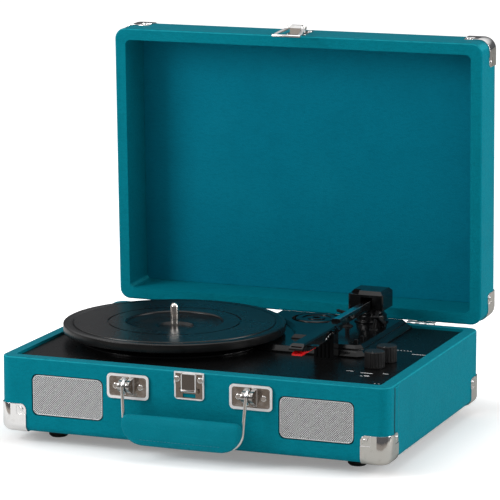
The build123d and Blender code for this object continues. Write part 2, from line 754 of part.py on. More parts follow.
def flap_places(corner):
    """For each flap: the middle of its nail pad on the case, and the flap's normal axis."""
    x, y, z, (sx, sy, sz) = corner
    step = guard_reach - guard_pad / 2
    return [((x, y - sy * step, z - sz * step), 0),
            ((x - sx * step, y, z - sz * step), 1),
            ((x - sx * step, y - sy * step, z), 2)]


def nail_turn(axis, outward):
    """Rotation that points +Z out of the flap."""
    if axis == 0:
        return Rot(0, 90 * outward[0], 0)
    if axis == 1:
        return Rot(-90 * outward[1], 0, 0)
    return Rot(0 if outward[2] > 0 else 180, 0, 0)


def guard_nails(corners):
    """One domed nail through each flap."""
    shapes = []
    for corner in corners:
        for place, axis in flap_places(corner):
            head = Pos(0, 0, pad_skin + 0.02) * dome_screw(2.0, 0.2, 0.9)
            shank = Pos(0, 0, (pad_skin - nail_depth) / 2) * Cylinder(nail_radius, nail_depth + pad_skin)
            shapes.append(Pos(*place) * nail_turn(axis, corner[3]) * (head + shank))
    return shapes


def nail_holes(corners, shape):
    """Cut the nails' holes in a shape."""
    for corner in corners:
        for place, axis in flap_places(corner):
            shape -= Pos(*place) * nail_turn(axis, corner[3]) * Cylinder(nail_radius + 0.15, 14)
    return shape


def guards(outer, middle, core, corners):
    """Thin pressed corners, each with three flaps and a sunken pad for the nail."""
    shapes = []
    for corner in corners:
        x, y, z, _ = corner
        region = Pos(x, y, z) * Box(2 * guard_reach, 2 * guard_reach, 2 * guard_reach)
        piece = (outer & fillet(region.edges(), guard_round)) - core
        for place, _ in flap_places(corner):
            piece -= Pos(*place) * Box(guard_pad, guard_pad, guard_pad) - middle
        shapes.append(nail_holes([corner], piece))
    return shapes


def base_guards():
    """Guards on the four lower corners of the base."""
    outer = case_block(base_bottom, rim_z, guard)
    middle = case_block(base_bottom, rim_z, pad_skin)
    return Compound(guards(outer, middle, case_block(base_bottom, rim_z, 0.04), base_corners()))


def lid_guards():
    """Guards on the four upper corners of the lid."""
    pieces = guards(lid_block(guard), lid_block(pad_skin), lid_block(0.04), lid_corners())
    return Compound([opened(piece) for piece in pieces])


# ================================================================ hinges
def hinge_knuckles(sign, middle):
    """The outer two knuckles of a hinge, or its middle one."""
    x = sign * hinge_x
    if middle:
        return rod_x(x - 4.3, x + 4.3, pin_y, pin_z, knuckle_radius)
    outer = rod_x(x - 13, x - 4.6, pin_y, pin_z, knuckle_radius)
    return outer + rod_x(x + 4.6, x + 13, pin_y, pin_z, knuckle_radius)


def hinge_leaves_base():
    """Leaves on the back of the base."""
    shapes = []
    for sign in (-1, 1):
        x = sign * hinge_x
        plate = block(x - 13, x + 13, back + 0.05, back + leaf, pin_z - 20, pin_z)
        plate = fillet(plate.edges().filter_by(Axis.Y).group_by(Axis.Z)[0], 3)
        relief = block(x - 4.6, x + 4.6, back, back + 6, pin_z - 3.2, pin_z + 3)
        body = plate - relief + hinge_knuckles(sign, False)
        body -= rod_x(x - 14, x + 14, pin_y, pin_z, pin_radius + running)
        for offset in (-8, 8):
            body -= rod_y(x + offset, back - 1, back + 4, pin_z - 11, 1.05)
        shapes.append(body)
    return Compound(shapes)


def hinge_leaves_lid():
    """Leaves on the back of the lid."""
    shapes = []
    for sign in (-1, 1):
        x = sign * hinge_x
        plate = block(x - 13, x + 13, back + 0.05, back + leaf, pin_z + 3.2, pin_z + 21)
        plate = fillet(plate.edges().filter_by(Axis.Y).group_by(Axis.Z)[-1], 3)
        neck = block(x - 4.3, x + 4.3, back + 0.05, back + leaf, pin_z, pin_z + 4)
        body = plate + neck + hinge_knuckles(sign, True)
        body -= rod_x(x - 14, x + 14, pin_y, pin_z, pin_radius + running)
        for offset in (-8, 8):
            body -= rod_y(x + offset, back - 1, back + 4, pin_z + 12, 1.05)
        shapes.append(opened(body))
    return Compound(shapes)


def hinge_screws(z):
    """Screws of two hinge leaves on the back face."""
    shapes = []
    for sign in (-1, 1):
        for offset in (-8, 8):
            screw = Pos(sign * hinge_x + offset, back + leaf, z) * Rot(-90, 0, 0) * dome_screw(2.0, 4.5, 0.7)
            shapes.append(screw)
    return shapes


# ================================================================ handle
def handle_bracket(sign):
    """Pressed plate with a raised border and two ears for the handle wire."""
    x = sign * bracket_x
    plate = face_plate(x, front - 0.05, bracket_z, bracket_width, bracket_height, 4.0, 1.9)
    plate -= face_plate(x, front - 0.95, bracket_z, bracket_width - 4.4, bracket_height - 4.4, 2.4, 3)
    root = front - 0.9
    flank = Polyline((root, bracket_z - 7.5), (root, bracket_z + 8.0), (pivot_y - 1.4, pivot_z + 3.9),
                     (pivot_y - 1.4, pivot_z - 3.9), close=True)
    for ear in (-3.5, 3.5):
        tab = Pos(x + ear, 0, 0) * extrude(make_face(Plane.YZ * flank), 1.7, both=True)
        plate += tab + rod_x(x + ear - 1.7, x + ear + 1.7, pivot_y, pivot_z, 4.15)
    plate -= rod_x(x - 6, x + 6, pivot_y, pivot_z, 1.25)
    for offset in (-11.4, 11.4):
        plate -= rod_y(x + offset, front - 6, front + 1, bracket_z, 1.25)
    return plate


def handle_wire():
    """One bent wire: an eye at each end, two legs and the run through the grip."""
    drop = pivot_z - handle_low
    path = Polyline((-bracket_x, 0, 0), (-handle_half, 0, -drop), (handle_half, 0, -drop), (bracket_x, 0, 0))
    bends = path.vertices()
    path = fillet([bends[1], bends[2]], handle_bend)
    start = Plane((-bracket_x, 0, 0), z_dir=(bracket_x - handle_half, 0, -drop))
    body = Pos(0, -eye_radius, 0) * sweep(start * Circle(wire_radius), path=path)
    for sign in (-1, 1):
        x = sign * bracket_x
        body += Pos(x, 0, 0) * Rot(0, 90, 0) * Torus(eye_radius, wire_radius)
        body -= rod_x(x - 3, x + 3, 0, 0, barrel_radius + 0.25)
    return Pos(0, pivot_y, pivot_z) * Rot(-handle_lean, 0, 0) * body


def handle_grip(wire):
    """Padded hand grip folded around the wire, deeply rounded below."""
    flat = Rectangle(2 * grip_half, grip_high - grip_low)
    flat = fillet(flat.vertices().group_by(Axis.Y)[0], 17)
    flat = fillet(flat.vertices().group_by(Axis.Y)[-1], 5.5)
    body = Rot(90, 0, 0) * extrude(flat, grip_thick)
    body = fillet(body.edges().group_by(Axis.Y)[0], 4.5)
    body = fillet(body.edges().group_by(Axis.Y)[-1], 3.0)
    return Pos(0, grip_front + grip_thick, (grip_low + grip_high) / 2) * body - wire


# ================================================================ latch
latch_pivot_z = rim_z - 16.4


def latch_plate():
    """Catch plate on the base: side cheeks, a hook bar and a slot."""
    plate = face_plate(0, front - 0.05, latch_z, latch_width, latch_height, 3.4, 1.0)
    for sign in (-1, 1):
        x0 = min(sign * 7.0, sign * 13.5)
        cheek = block(x0, x0 + 6.5, front - 1.6, front - 0.5, rim_z - 11, rim_z - 0.4)
        plate += cheek
    plate -= block(-5.8, 5.8, front - 2, front + 1, rim_z - 22.4, rim_z - 19.0)
    for sign in (-1, 1):
        plate -= rod_y(sign * 10.6, front - 4, front + 1, rim_z - 6.6, 1.25)
        lug = block(sign * 7.9 - 0.9, sign * 7.9 + 0.9, front - 3.4, front - 0.5,
                    latch_pivot_z - 1.7, latch_pivot_z + 1.7)
        plate += lug - rod_x(-12, 12, front - 2.3, latch_pivot_z, 0.65)
    return plate


def latch_flap():
    """Thumb flap that draws the hasp down; it tips out about its lower edge."""
    body = face_plate(0, front - 1.5, latch_pivot_z + 7.2, 13.4, 16.0, 2.2, 1.5)
    body += rod_x(-6.7, 6.7, front - 2.3, latch_pivot_z, 1.2)
    return body - rod_x(-12, 12, front - 2.3, latch_pivot_z, 0.65)


hasp_low = lid_bottom + 2.6          # lower edge of the hasp plate
hasp_high = lid_bottom + 28.0
hasp_screw_z = lid_bottom + 23.4
hasp_pin_z = lid_bottom + 6.0
hasp_pin_y = front - 6.6
hasp_reach = 26.4                    # from the pin to the loop's bar
hasp_droop = 8.9                     # degrees that the loop leans towards the case
bridge_half = 5.2


def hasp_plate():
    """Fixed half of the hasp: a plate on the lid with a pressed bridge that holds the pin."""
    body = face_plate(0, front - 0.05, (hasp_low + hasp_high) / 2, 19.0, hasp_high - hasp_low, 2.4, 1.0)
    outline = Polyline((front - 0.9, hasp_low + 0.6), (front - 6.6, hasp_low + 0.2),
                       (front - 8.8, hasp_low + 4.2), (front - 8.8, hasp_low + 7.0),
                       (front - 0.9, hasp_low + 14.6), close=True)
    bridge = extrude(make_face(Plane.YZ * outline), bridge_half, both=True)
    hollow = Polyline((front - 1.0, hasp_low + 2.2), (front - 3.2, hasp_low + 2.2),
                      (front - 5.0, hasp_low + 4.0), (front - 1.0, hasp_low + 8.0), close=True)
    bridge -= extrude(make_face(Plane.YZ * hollow), bridge_half - 1.2, both=True)
    body = body + bridge - rod_x(-8, 8, hasp_pin_y, hasp_pin_z, 0.75)
    for sign in (-1, 1):
        body -= rod_y(sign * 6.6, front - 4, front + 1, hasp_screw_z, 1.25)
    return opened(body)


def hasp_loop():
    """Draw loop: two arms that spread from the pin to a bar, which hooks under the thumb flap."""
    shapes = rod_x(-13.5, 13.5, 0, -hasp_reach, 1.3)
    for sign in (-1, 1):
        arm = Polyline((sign * 5.4, 1.5), (sign * 8.6, 1.5), (sign * 13.2, -hasp_reach + 6),
                       (sign * 13.2, -hasp_reach), (sign * 9.9, -hasp_reach),
                       (sign * 9.9, -hasp_reach + 5), (sign * 5.4, -2.2), close=True)
        shapes += extrude(make_face(Plane.XZ * arm), 0.6, both=True)
        x0 = min(sign * 5.4, sign * 9.4)
        shapes += rod_x(x0, x0 + 4.0, 0, 0, 1.7)
    shapes -= rod_x(-14, 14, 0, 0, 0.75)
    return opened(Pos(0, hasp_pin_y, hasp_pin_z) * Rot(hasp_droop, 0, 0) * shapes)


def hasp_pin():
    """Pin between the two halves of the hasp."""
    return opened(rod_x(-9.4, 9.4, hasp_pin_y, hasp_pin_z, 0.7))


# ================================================================ fasteners
def case_screws():
    """Screws and nails of the base: brackets, catch plate, bottom panel, hinges and guards."""
    shapes = [Pos(x, y, z) * Rot(90, 0, 0) * dome_screw(2.6, 6, 1.1) for x, z, y in face_screws]
    for x, y in panel_screws:
        shapes.append(Pos(x, y, base_bottom) * Rot(180, 0, 0) * dome_screw(2.4, 9))
    shapes.extend(hinge_screws(pin_z - 11))
    shapes.extend(guard_nails(base_corners()))
    return Compound(shapes)


def lid_screws():
    """Screws and nails of the lid: hinge leaves, guards and hasp plate."""
    shapes = [opened(screw) for screw in hinge_screws(pin_z + 12)]
    shapes.extend(opened(nail) for nail in guard_nails(lid_corners()))
    for sign in (-1, 1):
        screw = Pos(sign * 6.6, front - 1.05, hasp_screw_z) * Rot(90, 0, 0) * dome_screw(2.2, 6, 0.8)
        shapes.append(opened(screw))
    return Compound(shapes)


def steel_pins():
    """Pins fixed in the base: case hinges, handle brackets, thumb flap and arm clip."""
    shapes = []
    for sign in (-1, 1):
        x = sign * hinge_x
        shapes.append(rod_x(x - 13, x + 13, pin_y, pin_z, pin_radius))
        x = sign * bracket_x
        shapes.append(rod_x(x - 5.2, x + 5.2, pivot_y, pivot_z, 1.2)
                      + rod_x(x - 1.7, x + 1.7, pivot_y, pivot_z, barrel_radius))
    shapes.append(rod_x(-8.7, 8.7, front - 2.3, latch_pivot_z, 0.6))
    shapes.append(rod_y(arm_x + 8.3, rest_y - 5.6, rest_y + 5.6, shell_top - 3, 0.7))
    return Compound(shapes)


# ================================================================ write every node
def main():
    save("base_shell", base_shell())
    save("bottom_panel", bottom_panel())
    save("rubber_feet", rubber_feet())
    save("jack_panel", jack_panel())
    save("rear_sockets", rear_sockets())
    save("speaker_frames", pair(speaker_frame))
    save("speaker_cones", pair(speaker_cone))
    save("speaker_magnets", pair(speaker_magnet))
    for name, sign in (("left", -1), ("right", 1)):
        save(f"{name}_grille", speaker_grille(sign * grille_x))
        save(f"{name}_handle_bracket", handle_bracket(sign))
    save("deck_panel", deck_panel())
    save("chassis_plate", chassis_plate())
    save("platter", platter())
    save("platter_mat", platter_mat())
    save("spindle", spindle())
    save("spindle_bearing", spindle_bearing())
    save("motor", motor())
    save("motor_pulley", motor_pulley())
    save("drive_belt", drive_belt())
    save("arm_turret", arm_turret())
    save("arm_shaft", arm_shaft())
    save("arm_housing", arm_housing())
    save("arm_pin", arm_pin())
    save("arm_tube", arm_tube())
    save("headshell", headshell())
    save("cartridge", cartridge())
    save("stylus", stylus())
    save("lift_bar", lift_bar())
    save("cue_lever", cue_lever())
    save("cue_bracket", cue_bracket())
    save("arm_rest", arm_rest())
    save("arm_clip", arm_clip())
    for name, x, y in knob_spots:
        save(f"{name}_knob", knob(x, y))
        save(f"{name}_shaft", knob_shaft(x, y))
    save("control_pots", control_pots())
    save("speed_selector", slide_switch(speed_y, 1.5))
    save("stop_switch", slide_switch(stop_y, 1.3))
    save("disc_adapter", disc_adapter())
    save("circuit_board", circuit_board())
    save("board_parts", board_parts())
    save("lid_shell", lid_shell())
    save("lid_lining", lid_lining())
    save("base_guards", base_guards())
    save("lid_guards", lid_guards())
    save("hinge_leaves_base", hinge_leaves_base())
    save("hinge_leaves_lid", hinge_leaves_lid())
    wire = handle_wire()
    save("handle_wire", wire)
    save("handle_grip", handle_grip(wire))
    save("latch_plate", latch_plate())
    save("latch_flap", latch_flap())
    save("hasp_plate", hasp_plate())
    save("hasp_loop", hasp_loop())
    save("hasp_pin", hasp_pin())
    save("case_screws", case_screws())
    save("lid_screws", lid_screws())
    save("steel_pins", steel_pins())


main()
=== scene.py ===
from math import cos, pi, radians, sin, sqrt

import bmesh
import bpy
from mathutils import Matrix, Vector, noise

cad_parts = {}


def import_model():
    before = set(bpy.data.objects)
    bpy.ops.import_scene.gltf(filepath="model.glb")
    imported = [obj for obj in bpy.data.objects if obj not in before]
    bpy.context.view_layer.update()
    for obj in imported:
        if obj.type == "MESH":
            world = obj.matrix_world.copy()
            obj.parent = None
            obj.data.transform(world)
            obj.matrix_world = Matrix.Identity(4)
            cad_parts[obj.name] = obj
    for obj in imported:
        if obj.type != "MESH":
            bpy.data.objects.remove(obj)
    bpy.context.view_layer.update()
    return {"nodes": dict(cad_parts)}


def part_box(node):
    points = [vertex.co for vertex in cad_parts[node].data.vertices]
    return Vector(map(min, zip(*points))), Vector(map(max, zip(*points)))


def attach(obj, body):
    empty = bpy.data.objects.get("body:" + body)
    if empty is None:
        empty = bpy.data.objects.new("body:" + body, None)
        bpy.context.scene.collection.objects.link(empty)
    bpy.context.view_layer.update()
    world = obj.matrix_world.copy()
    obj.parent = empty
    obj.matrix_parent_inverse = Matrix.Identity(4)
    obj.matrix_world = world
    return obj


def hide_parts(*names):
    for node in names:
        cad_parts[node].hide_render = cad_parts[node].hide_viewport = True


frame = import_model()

# Suitcase record player with its lid open. Metres, in the CAD frame: +X right, +Y back,
# +Z up, origin on the spindle's axis at the height of the mat.

MM = 0.001
NODES = frame["nodes"]


def box(node):
    """Lowest corner, highest corner and middle of a CAD node at rest."""
    low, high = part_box(node)
    return low, high, (low + high) / 2


BASE_LOW, BASE_HIGH, BASE_MID = box("base_shell")
FLOOR_Z = box("rubber_feet")[0].z
DECK_Z = box("deck_panel")[1].z
STEP_Z = box("chassis_plate")[1].z


# ------------------------------------------------------------------ materials
class Surface:
    """A procedural material built around one principled shader."""

    def __init__(self, name, colour, rough=0.5, metallic=0.0, coat=0.0, level=0.5):
        self.material = bpy.data.materials.new(name)
        self.material.use_nodes = True
        self.tree = self.material.node_tree
        self.shader = self.tree.nodes["Principled BSDF"]
        self.colour = (*colour, 1.0)
        self.shader.inputs["Base Color"].default_value = self.colour
        self.shader.inputs["Roughness"].default_value = rough
        self.shader.inputs["Metallic"].default_value = metallic
        self.shader.inputs["Coat Weight"].default_value = coat
        self.shader.inputs["Coat Roughness"].default_value = 0.05
        self.shader.inputs["Specular IOR Level"].default_value = level
        self.place = self.node("ShaderNodeTexCoord").outputs["Object"]
        self.normal = None

    def node(self, kind, **settings):
        """A new shader node with the given settings."""
        made = self.tree.nodes.new(kind)
        for name, value in settings.items():
            setattr(made, name, value)
        return made

    def link(self, source, target):
        """Feed one socket into another."""
        self.tree.links.new(source, target)

    def math(self, operation, first, second=0.0):
        """Result of an operation on values or sockets; some operations need only the first."""
        made = self.node("ShaderNodeMath", operation=operation)
        for socket, value in zip(made.inputs, (first, second)):
            if isinstance(value, (int, float)):
                socket.default_value = value
            else:
                self.link(value, socket)
        return made.outputs[0]

    def noise(self, scale, detail=3.0, stretch=(1, 1, 1)):
        """Cloudy pattern; scale counts its features in a metre."""
        mapping = self.node("ShaderNodeMapping")
        mapping.inputs["Scale"].default_value = stretch
        self.link(self.place, mapping.inputs["Vector"])
        made = self.node("ShaderNodeTexNoise")
        made.inputs["Scale"].default_value = scale
        made.inputs["Detail"].default_value = detail
        self.link(mapping.outputs[0], made.inputs["Vector"])
        return made.outputs["Fac"]

    def cells(self, scale):
        """Distance from the middle of the nearest pebble."""
        made = self.node("ShaderNodeTexVoronoi", feature="F1")
        made.inputs["Scale"].default_value = scale
        self.link(self.place, made.inputs["Vector"])
        return made.outputs["Distance"]

    def axis(self, name):
        """One coordinate in the CAD frame."""
        made = self.node("ShaderNodeSeparateXYZ")
        self.link(self.place, made.inputs[0])
        return made.outputs[name]

    def facing_up(self, low, high):
        """Nought where the normal's rise is under low, one where it is over high."""
        split = self.node("ShaderNodeSeparateXYZ")
        self.link(self.node("ShaderNodeNewGeometry").outputs["Normal"], split.inputs[0])
        return self.band(split.outputs["Z"], low, high)

    def radius(self):
        """Distance from the spindle's axis."""
        squares = [self.math("MULTIPLY", side, side) for side in (self.axis("X"), self.axis("Y"))]
        return self.math("SQRT", self.math("ADD", *squares))

    def glancing(self, low, high, most=1.0):
        """Most where the surface is seen along its face, nought where it is seen head on."""
        return self.band(self.node("ShaderNodeLayerWeight").outputs["Facing"], low, high, most)

    def past_box(self, low, high, axes):
        """Distance past the sides of a box along two axes, and less than nought within it."""
        apart = []
        for name in axes:
            index = "XYZ".index(name)
            middle, half = (low[index] + high[index]) / 2, (high[index] - low[index]) / 2
            offset = self.math("ABSOLUTE", self.math("SUBTRACT", self.axis(name), middle))
            apart.append(self.math("SUBTRACT", offset, half))
        return self.math("MAXIMUM", *apart)

    def band(self, value, low, high, to_high=1.0, to_low=0.0):
        """Smooth step that gives to_low where a value is at low, and to_high where it is at high."""
        made = self.node("ShaderNodeMapRange", interpolation_type="SMOOTHSTEP")
        self.link(value, made.inputs["Value"])
        made.inputs["From Min"].default_value = low
        made.inputs["From Max"].default_value = high
        made.inputs["To Min"].default_value = to_low
        made.inputs["To Max"].default_value = to_high
        return made.outputs[0]

    def tint(self, factor, colour):
        """Mix another colour over the present one."""
        made = self.node("ShaderNodeMix", data_type="RGBA")
        self.link(factor, made.inputs["Factor"])
        present = self.shader.inputs["Base Color"]
        if present.is_linked:
            self.link(present.links[0].from_socket, made.inputs["A"])
        else:
            made.inputs["A"].default_value = self.colour
        made.inputs["B"].default_value = (*colour, 1.0)
        self.link(made.outputs["Result"], present)

    def roughen(self, factor, low, high):
        """Let the roughness run from low to high with a factor."""
        made = self.node("ShaderNodeMapRange")
        self.link(factor, made.inputs["Value"])
        made.inputs["To Min"].default_value = low
        made.inputs["To Max"].default_value = high
        self.link(made.outputs[0], self.shader.inputs["Roughness"])

    def bump(self, height, depth, strength=1.0):
        """Add a relief of the given depth in metres."""
        made = self.node("ShaderNodeBump")
        made.inputs["Strength"].default_value = strength
        made.inputs["Distance"].default_value = depth
        self.link(height, made.inputs["Height"])
        if self.normal is not None:
            self.link(self.normal, made.inputs["Normal"])
        self.normal = made.outputs["Normal"]
        self.link(self.normal, self.shader.inputs["Normal"])


# The covering's linear colours.
TEAL = (0.0016, 0.208, 0.272)
TEAL_DEEP = (0.0008, 0.158, 0.212)
TEAL_WORN = (0.005, 0.262, 0.325)
# Painted sheen for upward faces seen at a glance.
TEAL_SHEEN = (0.07, 0.22, 0.27)
# Painted highlight for rounded edges that slant upwards.
TEAL_EDGE_HIGHLIGHT = (0.02, 0.36, 0.44)


def leatherette(name, colour=TEAL, deep=TEAL_DEEP, worn=TEAL_WORN, grain=0.16 * MM, sheen=0.0):
    """Embossed teal wrap: drawn-out wrinkles under pebbles, faint mottling, a painted sheen on upward
    faces seen at a glance, and rounded edges that slant upwards made paler by a painted highlight.
    """
    s = Surface(name, colour, 0.46, level=0.018)
    pebbles = s.cells(1050.0)
    wrinkles = s.noise(330.0, 3.0, (0.55, 1, 1.5))
    s.tint(s.band(s.noise(38.0, 4.0), 0.45, 0.75, 0.35), deep)
    s.tint(s.band(pebbles, 0.30, 0.75, 0.35), deep)
    s.tint(s.band(s.noise(9.0, 2.0), 0.55, 0.80, 0.22), worn)
    # Painted sheen: paler, greyer teal on upward faces seen at a glance.
    s.tint(s.math("MULTIPLY", s.facing_up(0.3, 0.9), s.glancing(0.6, 0.9, sheen)), TEAL_SHEEN)
    # Painted highlight on rounded edges that slant upwards, but not on level tops.
    level_part = s.facing_up(0.7, 0.9)
    edge_highlight = s.math("MULTIPLY", s.facing_up(0.2, 0.45), s.math("SUBTRACT", 1.0, level_part))
    s.tint(s.math("MULTIPLY", edge_highlight, 0.6), TEAL_EDGE_HIGHLIGHT)
    s.tint(s.band(wrinkles, 0.46, 0.66, 0.38), deep)
    s.bump(wrinkles, grain * 1.6, 0.6)
    s.roughen(s.noise(260.0, 2.0), 0.40, 0.54)
    s.bump(s.noise(700.0, 4.0), grain, 0.5)
    s.bump(s.band(pebbles, 0.15, 0.75, 0.0, 1.0), grain, 0.55)
    return s.material


def grip_leather():
    """The same wrap drawn over padding: finer grain with soft creases along the bend."""
    s = Surface("grip_leather", TEAL, 0.38, level=0.03)
    pebbles = s.cells(1150.0)
    s.tint(s.band(s.noise(55.0, 4.0), 0.45, 0.75, 0.35), TEAL_DEEP)
    s.tint(s.band(s.noise(120.0, 3.0, (0.35, 1, 2.5)), 0.56, 0.74, 0.4), TEAL_WORN)
    s.tint(s.band(pebbles, 0.30, 0.75, 0.3), TEAL_DEEP)
    s.roughen(s.noise(180.0, 3.0), 0.36, 0.54)
    s.bump(s.noise(130.0, 3.0, (0.4, 1, 2.2)), 0.25 * MM, 0.5)
    s.bump(s.band(pebbles, 0.15, 0.75, 0.0, 1.0), 0.2 * MM, 0.8)
    return s.material


GLOSS_BLACK = (0.0045, 0.0048, 0.0052)


def gloss_black():
    """Moulded gloss plastic with faint flow marks and dust-fine texture."""
    s = Surface("gloss_black", GLOSS_BLACK, 0.14, level=0.35)
    s.tint(s.band(s.noise(60.0, 4.0), 0.5, 0.8, 0.5), (0.008, 0.008, 0.0085))
    s.roughen(s.noise(120.0, 4.0), 0.112, 0.189)
    s.bump(s.noise(500.0, 2.0), 0.01 * MM, 0.25)
    return s.material


def arm_finish():
    """Black channel whose flat top mirrors like polished metal when it is seen along its face."""
    s = Surface("arm_polished", GLOSS_BLACK, 0.12, level=0.35)
    top = s.math("MULTIPLY", s.facing_up(0.80, 0.95), s.glancing(0.45, 0.75))
    s.tint(top, (0.92, 0.95, 0.97))
    s.link(top, s.shader.inputs["Metallic"])
    s.roughen(s.noise(140.0, 3.0), 0.08, 0.18)
    s.bump(s.noise(400.0, 2.0), 0.01 * MM, 0.2)
    return s.material


def satin_black(name, tone, rough, grain=0.02 * MM):
    """Fine spark-eroded black plastic."""
    s = Surface(name, (tone, tone, tone * 1.05), rough, level=0.13)
    s.tint(s.band(s.noise(70.0, 4.0), 0.5, 0.8, 0.5), (tone * 1.8, tone * 1.75, tone * 1.7))
    s.roughen(s.noise(300.0, 3.0), rough * 0.85, rough * 1.2)
    s.bump(s.noise(2600.0, 2.0), grain, 0.6)
    return s.material


def platter_plastic(name, grooves, rings=(), seams=()):
    """Platter and mat: satin black with turned lines, dark rings, radial seams and scuffs.

    Rings are radii in millimetres, and seams are bearings in degrees."""
    s = Surface(name, (0.0055, 0.0058, 0.0062), 0.2, level=0.36)
    reach = s.radius()
    s.tint(s.band(s.noise(45.0, 4.0), 0.5, 0.8, 0.6), (0.013, 0.0125, 0.012))
    s.tint(s.band(s.noise(95.0, 2.0), 0.70, 0.76, 0.8), (0.002, 0.002, 0.002))
    s.roughen(s.noise(30.0, 5.0), 0.22, 0.34)
    for ring in rings:
        off = s.math("ABSOLUTE", s.math("SUBTRACT", reach, ring * MM))
        s.tint(s.band(off, 0.8 * MM, 0.4 * MM), (0.0005, 0.0005, 0.0005))
    for bearing in seams:
        along_x, along_y = cos(radians(bearing)), sin(radians(bearing))
        x, y = s.axis("X"), s.axis("Y")
        across = s.math("SUBTRACT", s.math("MULTIPLY", x, along_y), s.math("MULTIPLY", y, along_x))
        along = s.math("ADD", s.math("MULTIPLY", x, along_x), s.math("MULTIPLY", y, along_y))
        line = s.band(s.math("ABSOLUTE", across), 0.7 * MM, 0.35 * MM)
        s.tint(s.math("MULTIPLY", line, s.band(along, 60 * MM, 61 * MM)), (0.001, 0.001, 0.001))
    turned = s.math("SINE", s.math("MULTIPLY", reach, grooves))
    s.bump(turned, 0.012 * MM, 0.35)
    return s.material


def chrome(name, rough, tone, warm=0.0):
    """Bright plating over pressed steel: gentle waviness, faint wipe marks, yellower when warm."""
    s = Surface(name, (tone, tone * (0.99 - warm * 0.5), tone * (0.975 - warm)), rough, metallic=1.0)
    s.tint(s.band(s.noise(150.0, 3.0), 0.55, 0.8, 0.45), (0.55, 0.52, 0.49))
    s.roughen(s.noise(240.0, 4.0), rough * 0.6, rough * 2.0)
    s.bump(s.noise(110.0, 2.0), 0.06 * MM, 0.30)
    return s.material


BRIGHT_PLATING = (0.93, 0.93, 0.93)


def plating_where_painted_dark(s, dark, border_rough, painted_dark_rough):
    """Let plating turn from a bright, half-dull border to a smoother, less metallic part that carries a
    painted dark reflection.
    """
    s.roughen(dark, border_rough, painted_dark_rough)
    s.link(s.band(dark, 0.0, 0.5, 1.0, 0.55), s.shader.inputs["Metallic"])


def bracket_chrome():
    """Plating that is bright on the raised border, with a painted dark reflection, brownish in the
    pressed recess and greyer on the ears.
    """
    s = Surface("bracket_chrome", BRIGHT_PLATING)
    depth = s.axis("Y")
    face = BASE_LOW.y
    # Painted dark reflection on the ears, set back behind the plate's face.
    ears = s.band(depth, face - 2.4 * MM, face - 3.0 * MM)
    s.tint(ears, (0.40, 0.385, 0.37))
    # Painted brownish dark reflection in the pressed recess, blotchy with noise.
    recess = s.math("MULTIPLY", s.band(depth, face - 1.5 * MM, face - 1.1 * MM),
                    s.band(s.noise(190.0, 4.0), 0.25, 0.62, 0.95, 0.72))
    s.tint(recess, (0.36, 0.31, 0.27))
    plating_where_painted_dark(s, s.math("MAXIMUM", recess, ears), 0.50, 0.14)
    s.bump(s.noise(160.0, 2.0), 0.08 * MM, 0.35)
    return s.material


def rimmed_chrome(name, node, rim, painted_reflection):
    """Plating with a bright rim around a flat that carries a painted dark reflection, for an upright
    plate.
    """
    s = Surface(name, BRIGHT_PLATING)
    low, high, _ = box(node)
    # Painted dark reflection on the flat inside the rim.
    flat = s.band(s.past_box(low, high, "XZ"), -rim, -rim - 0.6 * MM)
    s.tint(flat, painted_reflection)
    plating_where_painted_dark(s, flat, 0.50, 0.13)
    s.bump(s.noise(160.0, 2.0), 0.05 * MM, 0.3)
    return s.material


ALONG_X = (0.04, 1, 1)
ALONG_Y = (1, 0.05, 1)


def brushed(name, tone, rough, along):
    """Brushed steel with fine straight lines along an axis."""
    s = Surface(name, (tone, tone * 0.985, tone * 0.97), rough, metallic=1.0)
    lines = s.noise(2400.0, 2.0, along)
    s.tint(s.band(lines, 0.4, 0.7, 0.5), (tone * 0.6, tone * 0.59, tone * 0.58))
    s.roughen(lines, rough * 0.8, rough * 1.4)
    s.bump(lines, 0.02 * MM, 0.4)
    return s.material


def dull(name, colour, rough, scale, depth, spread=0.4, metallic=0.0):
    """Plain working surface with its own grain, for parts inside or underneath."""
    s = Surface(name, colour, rough, metallic=metallic)
    darker = tuple(c * (1 - spread) for c in colour)
    s.tint(s.band(s.noise(scale * 0.1, 4.0), 0.4, 0.75), darker)
    s.roughen(s.noise(scale * 0.3, 2.0), rough * 0.85, min(1.0, rough * 1.2))
    s.bump(s.noise(scale, 3.0), depth, 0.6)
    return s.material


def grille_metal():
    """Light grey lacquered wire."""
    s = Surface("grille_wire", (0.66, 0.665, 0.67), 0.42, metallic=0.35)
    s.tint(s.band(s.noise(420.0, 3.0), 0.45, 0.75, 0.5), (0.52, 0.52, 0.53))
    s.roughen(s.noise(300.0, 2.0), 0.36, 0.52)
    s.bump(s.noise(3000.0, 2.0), 0.02 * MM, 0.4)
    return s.material


def stylus_red():
    """Clear-coated red plastic of the stylus guard."""
    s = Surface("stylus_red", (0.80, 0.008, 0.010), 0.22, coat=0.3)
    s.tint(s.band(s.noise(200.0, 2.0), 0.5, 0.8, 0.5), (0.55, 0.004, 0.006))
    s.roughen(s.noise(260.0, 2.0), 0.18, 0.32)
    s.bump(s.noise(900.0, 2.0), 0.02 * MM, 0.3)
    return s.material


def print_white():
    """Silk-screened white ink."""
    s = Surface("print_white", (0.78, 0.79, 0.80), 0.6)
    s.tint(s.band(s.noise(900.0, 2.0), 0.5, 0.75, 0.5), (0.55, 0.56, 0.57))
    s.roughen(s.noise(700.0, 2.0), 0.5, 0.7)
    s.bump(s.noise(2000.0, 2.0), 0.01 * MM, 0.3)
    return s.material


def thread():
    """Twisted sewing thread, a shade lighter than the leather."""
    s = Surface("thread", (0.006, 0.20, 0.28), 0.7)
    twist = s.noise(3500.0, 2.0, (1, 1, 0.3))
    s.tint(s.band(twist, 0.45, 0.65, 0.6), (0.002, 0.10, 0.15))
    s.bump(twist, 0.05 * MM, 0.7)
    return s.material


